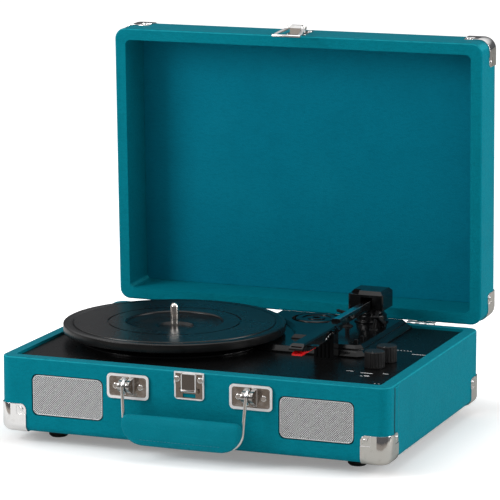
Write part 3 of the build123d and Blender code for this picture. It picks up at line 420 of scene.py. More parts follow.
MATERIALS = {
    "leatherette": leatherette("case_leatherette", sheen=0.15),
    "lid": leatherette("lid_leatherette"),
    "lining": leatherette("lining_leatherette", colour=(0.0014, 0.190, 0.280),
                          deep=(0.0007, 0.150, 0.225), worn=(0.005, 0.235, 0.325), grain=0.13 * MM),
    "grip": grip_leather(),
    "gloss": gloss_black(),
    "arm": arm_finish(),
    "deck": satin_black("deck_black", tone=0.0035, rough=0.28),
    "matte": satin_black("matte_black", tone=0.009, rough=0.5, grain=0.03 * MM),
    "knob": satin_black("knob_black", tone=0.016, rough=0.30),
    "platter": platter_plastic("platter_black", 9000.0, rings=(92.0, 95.2)),
    "mat": platter_plastic("mat_black", 7000.0, seams=(168, 77, -60)),
    "chrome": chrome("chrome", rough=0.08, tone=0.86),
    # The latch and flap flats carry painted dark reflections.
    "latch": rimmed_chrome("latch_chrome", "latch_plate", rim=1.0 * MM, painted_reflection=(0.42, 0.37, 0.33)),
    "flap": rimmed_chrome("flap_chrome", "latch_flap", rim=0.5 * MM, painted_reflection=(0.26, 0.24, 0.23)),
    "spindle": chrome("spindle_nickel", rough=0.14, tone=0.80, warm=0.10),
    "bracket": bracket_chrome(),
    "brushed": brushed("brushed_steel", tone=0.34, rough=0.33, along=ALONG_X),
    "steel": brushed("bright_steel", tone=0.6, rough=0.25, along=ALONG_Y),
    "wire": grille_metal(),
    "red": stylus_red(),
    "print": print_white(),
    "thread": thread(),
    "glue": dull("glue_line", (0.001, 0.040, 0.055), rough=0.7, scale=900.0, depth=0.04 * MM),
    "rubber": dull("foot_rubber", (0.012, 0.012, 0.012), rough=0.75, scale=900.0, depth=0.05 * MM),
    "belt": dull("belt_rubber", (0.02, 0.02, 0.02), rough=0.6, scale=1500.0, depth=0.02 * MM),
    "paper": dull("cone_paper", (0.03, 0.03, 0.03), rough=0.9, scale=800.0, depth=0.08 * MM),
    "cloth": dull("acoustic_cloth", (0.012, 0.012, 0.013), rough=0.95, scale=2500.0, depth=0.06 * MM),
    "magnet": dull("ferrite", (0.045, 0.045, 0.047), rough=0.7, scale=500.0, depth=0.04 * MM),
    "brass": dull("turned_brass", (0.62, 0.42, 0.14),
                  rough=0.3, scale=600.0, depth=0.02 * MM, spread=0.3, metallic=1.0),
    "board": dull("circuit_green", (0.015, 0.13, 0.05), rough=0.4, scale=700.0, depth=0.02 * MM),
    "fibre": dull("fibreboard", (0.03, 0.028, 0.026), rough=0.85, scale=900.0, depth=0.08 * MM),
    "alloy": dull("alloy", (0.55, 0.55, 0.56),
                  rough=0.4, scale=600.0, depth=0.03 * MM, spread=0.2, metallic=1.0),
}

# Which carried-over nodes wear which material.
FINISH = {
    "leatherette": ["base_shell"],
    "lid": ["lid_shell"],
    "lining": ["lid_lining"],
    "gloss": ["chassis_plate", "arm_housing", "arm_turret", "headshell", "disc_adapter",
              "arm_rest", "arm_clip"],
    "arm": ["arm_tube"],
    "deck": ["deck_panel"],
    "knob": ["volume_knob", "tone_knob"],
    "platter": ["platter"],
    "mat": ["platter_mat"],
    "matte": ["jack_panel", "cartridge", "lift_bar", "cue_lever", "cue_bracket",
              "speed_selector", "stop_switch"],
    "chrome": ["base_guards", "lid_guards", "hinge_leaves_base", "hinge_leaves_lid", "hasp_plate",
               "hasp_loop", "handle_wire", "case_screws", "lid_screws"],
    "bracket": ["left_handle_bracket", "right_handle_bracket"],
    "latch": ["latch_plate"],
    "flap": ["latch_flap"],
    "brushed": ["motor", "speaker_frames"],
    "steel": ["steel_pins", "hasp_pin", "arm_pin", "arm_shaft", "volume_shaft", "tone_shaft",
              "control_pots", "rear_sockets"],
    "spindle": ["spindle"],
    "red": ["stylus"],
    "wire": ["left_grille", "right_grille"],
    "paper": ["speaker_cones"],
    "magnet": ["speaker_magnets"],
    "brass": ["spindle_bearing", "motor_pulley"],
    "belt": ["drive_belt"],
    "board": ["circuit_board"],
    "alloy": ["board_parts"],
    "fibre": ["bottom_panel"],
    "rubber": ["rubber_feet"],
    "grip": ["handle_grip"],
}

# Rounded edges on carried-over nodes, in millimetres.
EDGE_ROUND = {
    "lid_shell": 0.7, "chassis_plate": 0.35, "arm_housing": 0.4, "arm_tube": 0.3, "headshell": 0.3,
    "cartridge": 0.2, "arm_turret": 0.3, "latch_plate": 0.25, "latch_flap": 0.3, "hasp_plate": 0.25,
    "hasp_loop": 0.2, "left_handle_bracket": 0.35, "right_handle_bracket": 0.35, "base_guards": 0.3,
    "lid_guards": 0.3, "platter": 0.25, "volume_knob": 0.15, "tone_knob": 0.15, "arm_rest": 0.2,
    "cue_lever": 0.2, "speed_selector": 0.2, "stop_switch": 0.2, "jack_panel": 0.3,
    "hinge_leaves_base": 0.2, "hinge_leaves_lid": 0.2, "deck_panel": 0.3, "disc_adapter": 0.2,
    "stylus": 0.15,
}


def round_edges(piece, width, sharp=30):
    """Soften the edges where two faces turn by more than sharp degrees."""
    bevel = piece.modifiers.new("edges", "BEVEL")
    bevel.width = width
    bevel.segments = 2
    bevel.limit_method = "ANGLE"
    bevel.angle_limit = radians(sharp)
    bevel.use_clamp_overlap = True
    bevel.harden_normals = False


def thicken(piece, thickness, offset):
    """Give a sheet its thickness; offset says on which side of it the new faces lie."""
    thick = piece.modifiers.new("thickness", "SOLIDIFY")
    thick.thickness = thickness
    thick.offset = offset


def dress_nodes():
    """Give every carried-over node its material, and weld it and round its edges softly."""
    for finish, names in FINISH.items():
        for name in names:
            node = NODES[name]
            node.data.materials.clear()
            node.data.materials.append(MATERIALS[finish])
            weld = node.modifiers.new("weld", "WELD")
            weld.merge_threshold = 0.002 * MM
            if name in EDGE_ROUND:
                round_edges(node, EDGE_ROUND[name] * MM, 38)


# ------------------------------------------------------------------ pieces made here
def mesh_from(name, vertices, faces, smooth=True):
    """A mesh with consistent normals, shaded smooth unless told otherwise."""
    mesh = bpy.data.meshes.new(name)
    mesh.from_pydata([tuple(v) for v in vertices], [], faces)
    mesh.update()
    bm = bmesh.new()
    bm.from_mesh(mesh)
    bmesh.ops.recalc_face_normals(bm, faces=bm.faces)
    bm.to_mesh(mesh)
    bm.free()
    if smooth:
        mesh.shade_smooth()
    return mesh


def new_piece(name, shape, material, body, smooth=True):
    """Make a piece from (vertices, faces), give it a material and let it ride on a body."""
    piece = bpy.data.objects.new(name, mesh_from(name, *shape, smooth))
    bpy.context.scene.collection.objects.link(piece)
    piece.data.materials.append(MATERIALS[material])
    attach(piece, body)
    return piece


def tube(points, radius, sides, closed=False):
    """Vertices and faces of a round tube through points: a ring, or a rod with capped ends."""
    vertices, faces = [], []
    count = len(points)
    normal = None
    for i, point in enumerate(points):
        ahead = points[(i + 1) % count] if closed or i + 1 < count else point
        behind = points[i - 1] if closed or i > 0 else point
        along = (ahead - behind).normalized()
        if normal is None:
            normal = along.orthogonal().normalized()
        normal = (normal - along * normal.dot(along)).normalized()
        across = along.cross(normal)
        for k in range(sides):
            turn = 2 * pi * k / sides
            vertices.append(point + (normal * cos(turn) + across * sin(turn)) * radius)
    rings = count if closed else count - 1
    for i in range(rings):
        here, there = i * sides, ((i + 1) % count) * sides
        for k in range(sides):
            after = (k + 1) % sides
            faces.append((here + k, here + after, there + after, there + k))
    if not closed:
        faces.append(tuple(range(sides)))
        faces.append(tuple((count - 1) * sides + k for k in range(sides)))
    return vertices, faces


def joined(parts):
    """Join lists of (vertices, faces) into one."""
    vertices, faces = [], []
    for some_vertices, some_faces in parts:
        start = len(vertices)
        vertices.extend(some_vertices)
        faces.extend(tuple(start + i for i in face) for face in some_faces)
    return vertices, faces


def curve_through(controls, steps):
    """Points along a smooth curve through the controls."""
    ends = [controls[0] * 2 - controls[1]] + list(controls) + [controls[-1] * 2 - controls[-2]]
    points = []
    for i in range(1, len(ends) - 2):
        before, start, stop, after = ends[i - 1:i + 3]
        for step in range(steps):
            t = step / steps
            points.append(0.5 * (2 * start + (stop - before) * t
                                 + (2 * before - 5 * start + 4 * stop - after) * t * t
                                 + (3 * start - before - 3 * stop + after) * t * t * t))
    points.append(controls[-1])
    return points


def rounded_outline(half_x, half_z, radii, steps=10):
    """Points of a rounded rectangle about the origin, one radius per corner, anticlockwise
    from the upper right."""
    points = []
    corners = [(1, 1), (-1, 1), (-1, -1), (1, -1)]
    for index, ((sx, sz), radius) in enumerate(zip(corners, radii)):
        start = index * pi / 2
        for step in range(steps + 1):
            turn = start + step * pi / 2 / steps
            points.append((sx * (half_x - radius) + radius * cos(turn),
                           sz * (half_z - radius) + radius * sin(turn)))
    return points


# ---- speaker grilles
GRILLE_CORNER = 5.0 * MM
GRILLE_CLEARANCE = 0.25 * MM  # around the sheet in its opening
GRILLE_GAP = 0.9 * MM         # dark line between the weave's edge and the covering
WEAVE_PITCH = 1.9 * MM        # between holes in a row
WEAVE_ROW = 0.95 * MM         # between rows, each shifted by half a pitch
WIRE_RISE = 0.16 * MM         # of the wires that pass over
WIRE_SINK = 0.12 * MM         # of the holes' inner edges


def into_rounded(x, z, half_x, half_z, corner):
    """Pull a point back inside a rounded rectangle."""
    x = max(-half_x, min(half_x, x))
    z = max(-half_z, min(half_z, z))
    out_x, out_z = abs(x) - (half_x - corner), abs(z) - (half_z - corner)
    if out_x > 0 and out_z > 0:
        reach = sqrt(out_x * out_x + out_z * out_z)
        if reach > corner:
            x = (half_x - corner + out_x * corner / reach) * (1 if x > 0 else -1)
            z = (half_z - corner + out_z * corner / reach) * (1 if z > 0 else -1)
    return x, z


def woven_sheet(half_x, half_z, front_y):
    """Diagonal wire weave as a sheet of ring-shaped cells, each around its own hole."""
    points, faces, known = [], [], {}

    def corner(i, j, x, z, rise):
        """A weave point shared by the cells around it."""
        if (i, j) not in known:
            x, z = into_rounded(x, z, half_x, half_z, GRILLE_CORNER)
            known[(i, j)] = len(points)
            points.append(Vector((x, front_y - rise, z)))
        return known[(i, j)]

    rows = int(half_z / WEAVE_ROW)
    columns = int(2 * half_x / WEAVE_PITCH) + 1
    quarter_x, half_row = WEAVE_PITCH / 4, WEAVE_ROW / 2
    directions = [(2, 0), (1, 1), (0, 2), (-1, 1), (-2, 0), (-1, -1), (0, -2), (1, -1)]
    for row in range(-rows, rows + 1):
        for column in range(-columns, columns + 1):
            ci, cj = 4 * column + 2 * (row % 2), 2 * row
            cx, cz = ci * quarter_x, cj * half_row
            inside = into_rounded(cx, cz, half_x, half_z, GRILLE_CORNER)
            if abs(inside[0] - cx) + abs(inside[1] - cz) > 0.1 * MM:
                continue
            outer, inner = [], []
            for di, dj in directions:
                i, j = ci + di, cj + dj
                passes_over = (i * 3 + j) % 4 in (0, 1)
                rise = WIRE_RISE * (1.0 if passes_over else 0.4)
                outer.append(corner(i, j, i * quarter_x, j * half_row, rise))
                share = 0.56 if di == 0 or dj == 0 else 0.66    # of the way out to the hole's edge
                x = cx + di * quarter_x * share
                z = cz + dj * half_row * share
                x, z = into_rounded(x, z, half_x, half_z, GRILLE_CORNER)
                inner.append(len(points))
                points.append(Vector((x, front_y + WIRE_SINK, z)))
            for k in range(8):
                after = (k + 1) % 8
                faces.append((outer[k], outer[after], inner[after], inner[k]))
    return points, faces


def cloth_sheet(half_x, half_z, middle, back_y):
    """Thin acoustic cloth stretched behind a grille, bellied slightly inwards."""
    columns, rows = 24, 14
    vertices, faces = [], []
    for j in range(rows + 1):
        for i in range(columns + 1):
            u, v = 2 * i / columns - 1, 2 * j / rows - 1
            x, z = into_rounded(u * half_x, v * half_z, half_x, half_z, GRILLE_CORNER)
            belly = 0.25 * MM * (1 - u * u) * (1 - v * v)
            vertices.append(Vector((middle.x + x, back_y - 0.3 * MM + belly, middle.z + z)))
    for j in range(rows):
        for i in range(columns):
            a = j * (columns + 1) + i
            faces.append((a, a + 1, a + columns + 2, a + columns + 1))
    return vertices, faces


def grilles():
    """Woven wire sheets with a rolled edge, and black cloth behind them."""
    for side in ("left", "right"):
        low, high, middle = box(f"{side}_grille")
        half_x = (high.x - low.x) / 2 - GRILLE_CLEARANCE
        half_z = (high.z - low.z) / 2 - GRILLE_CLEARANCE
        wire_x, wire_z = half_x - GRILLE_GAP, half_z - GRILLE_GAP
        sheet = woven_sheet(wire_x, wire_z, low.y + 0.35 * MM)
        outline = rounded_outline(wire_x, wire_z, [GRILLE_CORNER] * 4)
        edge = tube([Vector((x, low.y + 0.5 * MM, z)) for x, z in outline], 0.32 * MM, 8, closed=True)
        vertices, faces = joined([sheet, edge])
        shift = Vector((middle.x, 0, middle.z))
        weave = new_piece(f"{side}_grille_weave", ([v + shift for v in vertices], faces),
                          "wire", "base")
        thicken(weave, 0.22 * MM, 0)
        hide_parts(f"{side}_grille")
        new_piece(f"{side}_grille_cloth", cloth_sheet(half_x, half_z, middle, high.y),
                  "cloth", "base")


# ---- padded grip
GRIP_VOXEL = 1.6 * MM
GRIP_CORNERS = [5.5 * MM] * 2 + [19.0 * MM] * 2      # the upper two, then the lower two
GRIP_EDGE = 2.4 * MM          # rounding of the pad's front and back
GRIP_PRESSURE = 4.0
GRIP_SWELL = 1.3 * MM         # how far a point of the pad may move
SWELL_FRAMES = 20
# How far each side of the pad stands past its CAD solid, before it swells and at most in the end.
GRIP_GROWTH = (1.5 * MM, -0.8 * MM, -0.4 * MM)
GRIP_SPARE = (2.0 * MM, 0.0, 0.3 * MM)

CREASE_DEPTH = 0.18 * MM
SEAM_RISE = 6.5 * MM          # of the sewn seam over the pad's lower edge
SEAM_HALF_WIDTH = 1.2 * MM
SEAM_DEPTH = 0.28 * MM
STITCH_PITCH = 3.2 * MM
STITCH_LENGTH = 2.2 * MM
STITCH_RADIUS = 0.24 * MM
STITCHED_LENGTH = 76.0 * MM


def grip_start(low, high):
    """The pad before it swells: square upper corners, deeply rounded lower ones."""
    middle = (low + high) / 2
    # In plain numbers, as a Vector rounds to 32 bits and the simulation magnifies that.
    half_x, half_y, half_z = ((high[k] - low[k]) / 2 + GRIP_GROWTH[k] for k in range(3))
    outline = rounded_outline(half_x, half_z, GRIP_CORNERS)
    layers = 12
    vertices, faces = [], []
    count = len(outline)
    for layer in range(layers + 1):
        lean = -pi / 2 + pi * layer / layers
        shrink = GRIP_EDGE * (1 - max(0.0, cos(lean)) ** 0.5)
        for x, z in outline:
            scale_x = (half_x - shrink) / half_x
            scale_z = (half_z - shrink) / half_z
            belly = 0.82 + 0.18 * min(1.0, (z + half_z) / half_z)
            vertices.append(Vector((middle.x + x * scale_x, middle.y + half_y * sin(lean) * belly,
                                    middle.z + z * scale_z)))
    for layer in range(layers):
        for k in range(count):
            after = (k + 1) % count
            a, b = layer * count, (layer + 1) * count
            faces.append((a + k, a + after, b + after, b + k))
    faces.append(tuple(range(count)))
    faces.append(tuple(layers * count + k for k in range(count)))
    return mesh_from("handle_grip_leather", vertices, faces)


def freeze(piece):
    """Turn a piece's modifiers into plain geometry."""
    bpy.context.view_layer.update()
    seen = piece.evaluated_get(bpy.context.evaluated_depsgraph_get())
    mesh = bpy.data.meshes.new_from_object(seen)
    piece.modifiers.clear()
    piece.data = mesh


def inflate(piece, pressure, most):
    """Swell a closed mesh with a short cloth simulation; no point moves further than most."""
    start = [v.co.copy() for v in piece.data.vertices]
    cloth = piece.modifiers.new("cloth", "CLOTH")
    cloth.settings.use_pressure = True
    cloth.settings.uniform_pressure_force = pressure
    cloth.settings.effector_weights.gravity = 0.0
    cloth.settings.tension_stiffness = 12.0
    cloth.settings.bending_stiffness = 0.4
    cloth.point_cache.frame_start = 1
    cloth.point_cache.frame_end = SWELL_FRAMES
    scene = bpy.context.scene
    for step in range(1, SWELL_FRAMES + 1):
        scene.frame_set(step)
    freeze(piece)
    for vertex, origin in zip(piece.data.vertices, start):
        moved = vertex.co - origin
        if moved.length > most:
            vertex.co = origin + moved.normalized() * most
    scene.frame_set(1)


def clamp_into(piece, low, high, spare):
    """Keep every point of a soft piece within spare of its CAD solid's box."""
    for vertex in piece.data.vertices:
        for k in range(3):
            vertex.co[k] = max(low[k] - spare[k], min(high[k] + spare[k], vertex.co[k]))


def relax(piece, passes):
    """Average every point with its neighbours a few times."""
    bm = bmesh.new()
    bm.from_mesh(piece.data)
    for _ in range(passes):
        bmesh.ops.smooth_vert(bm, verts=bm.verts, factor=0.5,
                              use_axis_x=True, use_axis_y=True, use_axis_z=True)
    bm.to_mesh(piece.data)
    bm.free()


def press_seam(piece, middle, seam_z):
    """Fine creases over the pad, and a groove along its seam."""
    for vertex in piece.data.vertices:
        point = vertex.co
        crease = noise.noise(Vector((point.x * 60, point.y * 90, point.z * 160)))
        outward = 1 if point.y > middle.y else -1
        point.y += outward * crease * CREASE_DEPTH
        groove = max(0.0, 1 - abs(point.z - seam_z) / SEAM_HALF_WIDTH)
        point.y -= outward * SEAM_DEPTH * groove


def stitches(pad, middle, seam_z):
    """A run of short stitches sunk in the seam on the front and on the back of the pad."""
    parts = []
    shares = (-0.5, -0.25, 0.0, 0.25, 0.5)
    count = int(STITCHED_LENGTH / STITCH_PITCH)
    for direction in (-1, 1):
        for index in range(count):
            x = middle.x + (index - (count - 1) / 2) * STITCH_PITCH
            points = []
            for share in shares:
                away = Vector((x + share * STITCH_LENGTH, middle.y + direction * 40 * MM, seam_z))
                hit, place, _, _ = pad.ray_cast(away, Vector((0, -direction, 0)))
                if hit:
                    lift = 0.16 * MM * (1 - (2 * share) ** 2) - 0.08 * MM
                    points.append(place + Vector((0, direction * lift, 0)))
            if len(points) == len(shares):
                parts.append(tube(points, STITCH_RADIUS, 8))
    new_piece("handle_grip_stitches", joined(parts), "thread", "handle")


def handle_pad():
    """Leather pad sewn around the wire: swollen by a simulation that is then frozen, and stitched."""
    low, high, middle = box("handle_grip")
    pad = bpy.data.objects.new("handle_grip_leather", grip_start(low, high))
    bpy.context.scene.collection.objects.link(pad)
    remesh = pad.modifiers.new("remesh", "REMESH")
    remesh.mode = "VOXEL"
    remesh.voxel_size = GRIP_VOXEL
    freeze(pad)
    inflate(pad, GRIP_PRESSURE, GRIP_SWELL)
    relax(pad, 3)
    seam_z = low.z + SEAM_RISE
    press_seam(pad, middle, seam_z)
    clamp_into(pad, low, high, GRIP_SPARE)
    pad.data.materials.append(MATERIALS["grip"])
    pad.data.shade_smooth()
    finer = pad.modifiers.new("subdivision", "SUBSURF")
    finer.levels = 1
    finer.render_levels = 1
    freeze(pad)
    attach(pad, "handle")
    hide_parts("handle_grip")
    stitches(pad, middle, seam_z)


# ---- tonearm lead and small hardware
LEAD_RADIUS = 0.85 * MM
LEAD_SPREAD = 0.9 * MM        # of each core from the lead's middle
LEAD_DIP = 0.6 * MM           # below the step's face
# The lead's way from the turret's top, in millimetres.
LEAD_ROUTE = ((8.0, -8.5, -0.8), (11.0, -16.0, 0.0), (13.5, -26.0, -2.6), (14.6, -34.0, -7.5))
# Sections of the turned rings: radius and height in millimetres.
GROMMET = ((2.2, 0.0), (2.2, 0.7), (2.9, 1.3), (3.9, 0.9), (4.3, 0.0))
COLLAR = ((2.3, 0.0), (2.3, 1.6), (2.8, 2.0), (3.6, 1.8), (4.0, 1.1), (5.0, 0.8), (5.3, 0.0))


def lead_entry():
    """Where the tonearm's lead dives into the chassis."""
    turret = box("arm_turret")[2]
    return Vector((turret.x + 14.5 * MM, turret.y - 37.0 * MM, STEP_Z))


def arm_lead():
    """Thin twin lead that leaves the turret's neck and dives into the chassis."""
    _, high, turret = box("arm_turret")
    neck = Vector((turret.x, turret.y, high.z))
    parts = []
    for offset in (-LEAD_SPREAD, LEAD_SPREAD):
        aside = Vector((offset, 0, 0))
        controls = [neck + aside + Vector(place) * MM for place in LEAD_ROUTE]
        controls.append(lead_entry() + aside - Vector((0, 0, LEAD_DIP)))
        parts.append(tube(curve_through(controls, 8), LEAD_RADIUS, 10))
    new_piece("arm_lead", joined(parts), "matte", "base")


def lift_stem_place():
    """Where the lift bar's stem passes the upper step: the middle of its lowest points."""
    lowest = box("lift_bar")[0].z
    feet = [v.co for v in NODES["lift_bar"].data.vertices if v.co.z < lowest + 0.5 * MM]
    middle = sum(feet, Vector()) / len(feet)
    return Vector((middle.x, middle.y, STEP_Z))


def turned_ring(name, place, section, steps=32):
    """A small turned ring of matte black plastic on the base, from its section."""
    vertices, faces = [], []
    count = len(section)
    for step in range(steps):
        turn = 2 * pi * step / steps
        for radius, height in section:
            vertices.append(place + Vector((radius * cos(turn), radius * sin(turn), height)) * MM)
    for step in range(steps):
        here, there = step * count, ((step + 1) % steps) * count
        for k in range(count):
            after = (k + 1) % count
            faces.append((here + k, here + after, there + after, there + k))
    ring = new_piece(name, (vertices, faces), "matte", "base")
    round_edges(ring, 0.15 * MM)


# ---- printed marks
INK = 0.06 * MM               # thickness of a print
# Bars on the deck as offsets from a knob (X, Y), length and width, in millimetres.
FRONT_BARS = ((-15, -21, 6.5, 1.1), (1, -24, 11.0, 1.2), (17, -21, 5.2, 1.1), (4.5, -34, 5.0, 2.2),
              (0.2, -35.5, 2.6, 0.9), (20, -58, 1.2, 1.0), (23.5, -58, 1.2, 1.0))
REAR_BARS = ((17.5, 35, 12.5, 1.1), *((-8 + 3 * i, 46, 1.7, 1.0) for i in range(6)))
# Ticks on the headshell: length and width in millimetres.
TICKS = ((3.4, 0.6), (1.8, 1.1), (2.6, 0.8))
TICK_START = -31.0 * MM
TICK_PITCH = 5.2 * MM
TICK_SLANT = 0.35
CHEEK_OFFSET = 6.2 * MM       # of the headshell's right side from the arm's middle plane


def prism(outline, centre, right, up, thick):
    """A thin solid over an outline of points given along two directions."""
    base = [centre + right * x + up * y for x, y in outline]
    top = [point + thick for point in base]
    count = len(outline)
    faces = [tuple(range(count)), tuple(range(count, 2 * count))]
    for k in range(count):
        after = (k + 1) % count
        faces.append((k, after, count + after, count + k))
    return base + top, faces


def ink_bar(centre, length, width, turn=0.0):
    """A flat printed bar with rounded ends, lying on a level surface."""
    outline = []
    for end in (1, -1):
        for step in range(7):
            lean = -pi / 2 + pi * step / 6 + (0 if end > 0 else pi)
            x = end * (length - width) / 2 + width / 2 * cos(lean)
            y = width / 2 * sin(lean)
            outline.append((x * cos(turn) - y * sin(turn), x * sin(turn) + y * cos(turn)))
    return prism(outline, centre, Vector((1, 0, 0)), Vector((0, 1, 0)), Vector((0, 0, INK)))


def deck_marks():
    """Generic bars and dots beside the controls."""
    parts = []
    for knob, bars in (("volume_knob", FRONT_BARS), ("tone_knob", REAR_BARS)):
        middle = box(knob)[2]
        for x, y, length, width in bars:
            place = Vector((middle.x + x * MM, middle.y + y * MM, DECK_Z))
            parts.append(ink_bar(place, length * MM, width * MM))
    new_piece("deck_marks", joined(parts), "print", "base", smooth=False)


def knob_pointers():
    """White line let into the face of each knob."""
    for name in ("volume", "tone"):
        low, high, middle = box(f"{name}_knob")
        reach = (high.x - low.x) / 2
        place = Vector((middle.x, middle.y - reach * 0.64, high.z - 0.45 * MM))
        new_piece(f"{name}_pointer", ink_bar(place, reach * 0.5, 0.6 * MM, pi / 2),
                  "print", name, smooth=False)


def headshell_marks():
    """Three slanted ticks on the right cheek of the headshell."""
    face_x = box("arm_tube")[2].x + CHEEK_OFFSET - 0.01 * MM
    top = box("headshell")[1].z
    parts = []
    for index, (length, width) in enumerate(TICKS):
        centre = Vector((face_x, TICK_START - index * TICK_PITCH, top - (4.2 + index * 1.1) * MM))
        half, tall = length / 2 * MM, width / 2 * MM
        rise = half * TICK_SLANT
        outline = [(-half, -tall - rise), (half, -tall + rise), (half, tall + rise), (-half, tall - rise)]
        parts.append(prism(outline, centre, Vector((0, 1, 0)), Vector((0, 0, 1)), Vector((INK, 0, 0))))
    new_piece("headshell_marks", joined(parts), "print", "arm", smooth=False)


# ---- wrap seam
SEAM_SETBACK = 15.6 * MM      # of the covering's lapped joint from the case's front
LAP_PROUD = 0.28 * MM         # of the lap over the wrap under it
LAP_FLUSH = 0.02 * MM
LAP_THICKNESS = 0.2 * MM
JOINT_RADIUS = 0.55 * MM


def wrap_seam():
    """Overlapped ends of the covering: a thin lap and its dark joint behind a front corner."""
    face = BASE_HIGH.x
    start = BASE_LOW.y + SEAM_SETBACK
    bottom, top = box("base_guards")[1].z, BASE_HIGH.z - 2.6 * MM
    section = ((0.0, LAP_FLUSH), (0.5 * MM, LAP_PROUD), (9.0 * MM, LAP_PROUD), (12.0 * MM, LAP_FLUSH))
    count = len(section)
    steps = 24
    vertices, faces, joint = [], [], []
    for step in range(steps + 1):
        z = bottom + (top - bottom) * step / steps
        edge = start + 0.25 * MM * noise.noise(Vector((3.1, 7.7, z * 45)))
        joint.append(Vector((face + 0.06 * MM, edge - 0.25 * MM, z)))
        for along, lift in section:
            vertices.append(Vector((face + lift, edge + along, z)))
    for step in range(steps):
        for k in range(count - 1):
            a = step * count + k
            faces.append((a, a + 1, a + 1 + count, a + count))
    lap = new_piece("base_wrap_lap", (vertices, faces), "leatherette", "base")
    thicken(lap, LAP_THICKNESS, -1)
    new_piece("base_wrap_joint", tube(joint, JOINT_RADIUS, 8), "glue", "base")


# ------------------------------------------------------------------ stage
WORLD_COLOUR = (1.0, 0.985, 0.975, 1.0)
WORLD_STRENGTH = 0.42
# What shiny surfaces mirror, from level rays and lower (0) to straight up (1).
MIRRORED = ((0.0, (0.085, 0.085, 0.090, 1)), (0.30, (0.11, 0.11, 0.115, 1)),
            (0.44, (0.60, 0.60, 0.61, 1)), (0.62, (1.0, 1.0, 1.0, 1)))


def world():
    """Even, slightly warm light; shiny surfaces mirror a room that is dark low down and white above."""
    studio = bpy.data.worlds.new("studio")
    bpy.context.scene.world = studio
    studio.use_nodes = True
    tree = studio.node_tree
    tree.nodes.clear()
    out = tree.nodes.new("ShaderNodeOutputWorld")
    even = tree.nodes.new("ShaderNodeBackground")
    even.inputs["Color"].default_value = WORLD_COLOUR
    even.inputs["Strength"].default_value = WORLD_STRENGTH
    mirrored = tree.nodes.new("ShaderNodeBackground")
    ramp = tree.nodes.new("ShaderNodeValToRGB")
    stops = ramp.color_ramp.elements
    stops.remove(stops[1])
    stops[0].color = MIRRORED[0][1]
    for position, tone in MIRRORED[1:]:
        stops.new(position).color = tone
    place = tree.nodes.new("ShaderNodeTexCoord")
    split = tree.nodes.new("ShaderNodeSeparateXYZ")
    rays = tree.nodes.new("ShaderNodeLightPath")
    mix = tree.nodes.new("ShaderNodeMixShader")
    for source, target in ((place.outputs["Generated"], split.inputs[0]),
                           (split.outputs["Z"], ramp.inputs["Fac"]),
                           (ramp.outputs["Color"], mirrored.inputs["Color"]),
                           (rays.outputs["Is Glossy Ray"], mix.inputs["Fac"]),
                           (even.outputs[0], mix.inputs[1]),
                           (mirrored.outputs[0], mix.inputs[2]),
                           (mix.outputs[0], out.inputs["Surface"])):
        tree.links.new(source, target)


FLOOR_HALF = 16.0
GLOW_NEAR = 0.25              # camera-only lift of the floor beside the case and far from it
GLOW_FAR = 0.75
MIRROR_REACH = 0.14           # how far in front of the case mirrors still see a bright floor
MIRRORED_SIDE = (0.50, 0.49, 0.46)
MIRRORED_FRONT = (0.28, 0.25, 0.225)


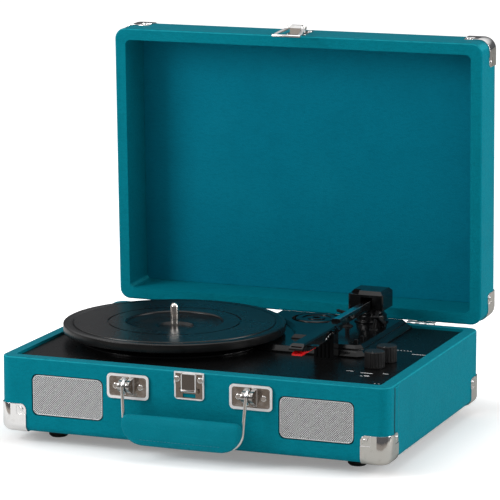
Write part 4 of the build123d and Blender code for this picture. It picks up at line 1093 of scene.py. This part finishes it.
def floor():
    """Wide pale floor, lifted for the camera away from the case, and darker to mirrors."""
    corners = [(x * FLOOR_HALF, y * FLOOR_HALF, FLOOR_Z) for x, y in ((-1, -1), (1, -1), (1, 1), (-1, 1))]
    mesh = bpy.data.meshes.new("floor")
    mesh.from_pydata(corners, [], [(0, 1, 2, 3)])
    ground = bpy.data.objects.new("floor", mesh)
    bpy.context.scene.collection.objects.link(ground)
    s = Surface("floor_white", (0.90, 0.90, 0.90), 0.9, level=0.05)
    s.tint(s.band(s.noise(3.0, 3.0), 0.4, 0.7), (0.89, 0.89, 0.892))
    rays = s.node("ShaderNodeLightPath")
    glossy = rays.outputs["Is Glossy Ray"]
    s.tint(s.math("MULTIPLY", glossy, s.band(s.axis("X"), 0.0, 0.2)), MIRRORED_SIDE)
    edge = BASE_LOW.y - MIRROR_REACH
    s.tint(s.math("MULTIPLY", s.band(s.axis("Y"), edge, edge - 0.04), glossy), MIRRORED_FRONT)
    glow = s.band(s.past_box(BASE_LOW, BASE_HIGH, "XY"), -0.01, 0.12, GLOW_FAR, GLOW_NEAR)
    s.shader.inputs["Emission Color"].default_value = (1, 1, 1, 1)
    s.link(s.math("MULTIPLY", rays.outputs["Is Camera Ray"], glow),
           s.shader.inputs["Emission Strength"])
    mesh.materials.append(s.material)


# Soft lights: place, size and watts.
LIGHTS = {
    "key": ((-0.92, -0.90, 0.75), (0.6, 0.8), 12.0),
    "right": ((1.9, 0.3, 0.7), (1.0, 1.2), 20.0),
    "top": ((0.1, 0.0, 2.0), (1.4, 1.2), 6.0),
}


def lights():
    """Three soft white lights aimed at the middle of the case."""
    aim = Vector((BASE_MID.x, BASE_MID.y, 0.05))
    for name, (place, size, power) in LIGHTS.items():
        lamp = bpy.data.lights.new(name, "AREA")
        lamp.shape = "RECTANGLE"
        lamp.size, lamp.size_y = size
        lamp.energy = power
        lit = bpy.data.objects.new(name, lamp)
        lit.location = place
        lit.rotation_euler = (aim - Vector(place)).to_track_quat("-Z", "Y").to_euler()
        bpy.context.scene.collection.objects.link(lit)


VIEW_AZIMUTH = radians(21.13)
VIEW_ELEVATION = radians(10.58)
VIEW_DISTANCE = 2.6453        # from the target to the lens
VIEW_LENS = 216.87            # focal length in millimetres
VIEW_TARGET = Vector((0.07122, 0.002, 0.06845))


def camera():
    """Long lens from the front right, a little above the deck."""
    data = bpy.data.cameras.new("camera")
    data.lens = VIEW_LENS
    data.sensor_width = 36.0
    data.clip_end = 100.0
    eye = bpy.data.objects.new("camera", data)
    back = Vector((sin(VIEW_AZIMUTH) * cos(VIEW_ELEVATION), -cos(VIEW_AZIMUTH) * cos(VIEW_ELEVATION),
                   sin(VIEW_ELEVATION)))
    eye.location = VIEW_TARGET + back * VIEW_DISTANCE
    eye.rotation_euler = (-back).to_track_quat("-Z", "Y").to_euler()
    bpy.context.scene.collection.objects.link(eye)
    bpy.context.scene.camera = eye


dress_nodes()
grilles()
handle_pad()
arm_lead()
turned_ring("lead_grommet", lead_entry(), GROMMET)
turned_ring("lift_collar", lift_stem_place(), COLLAR)
deck_marks()
knob_pointers()
headshell_marks()
wrap_seam()
world()
floor()
lights()
camera()
bpy.context.scene.view_settings.view_transform = "Standard"
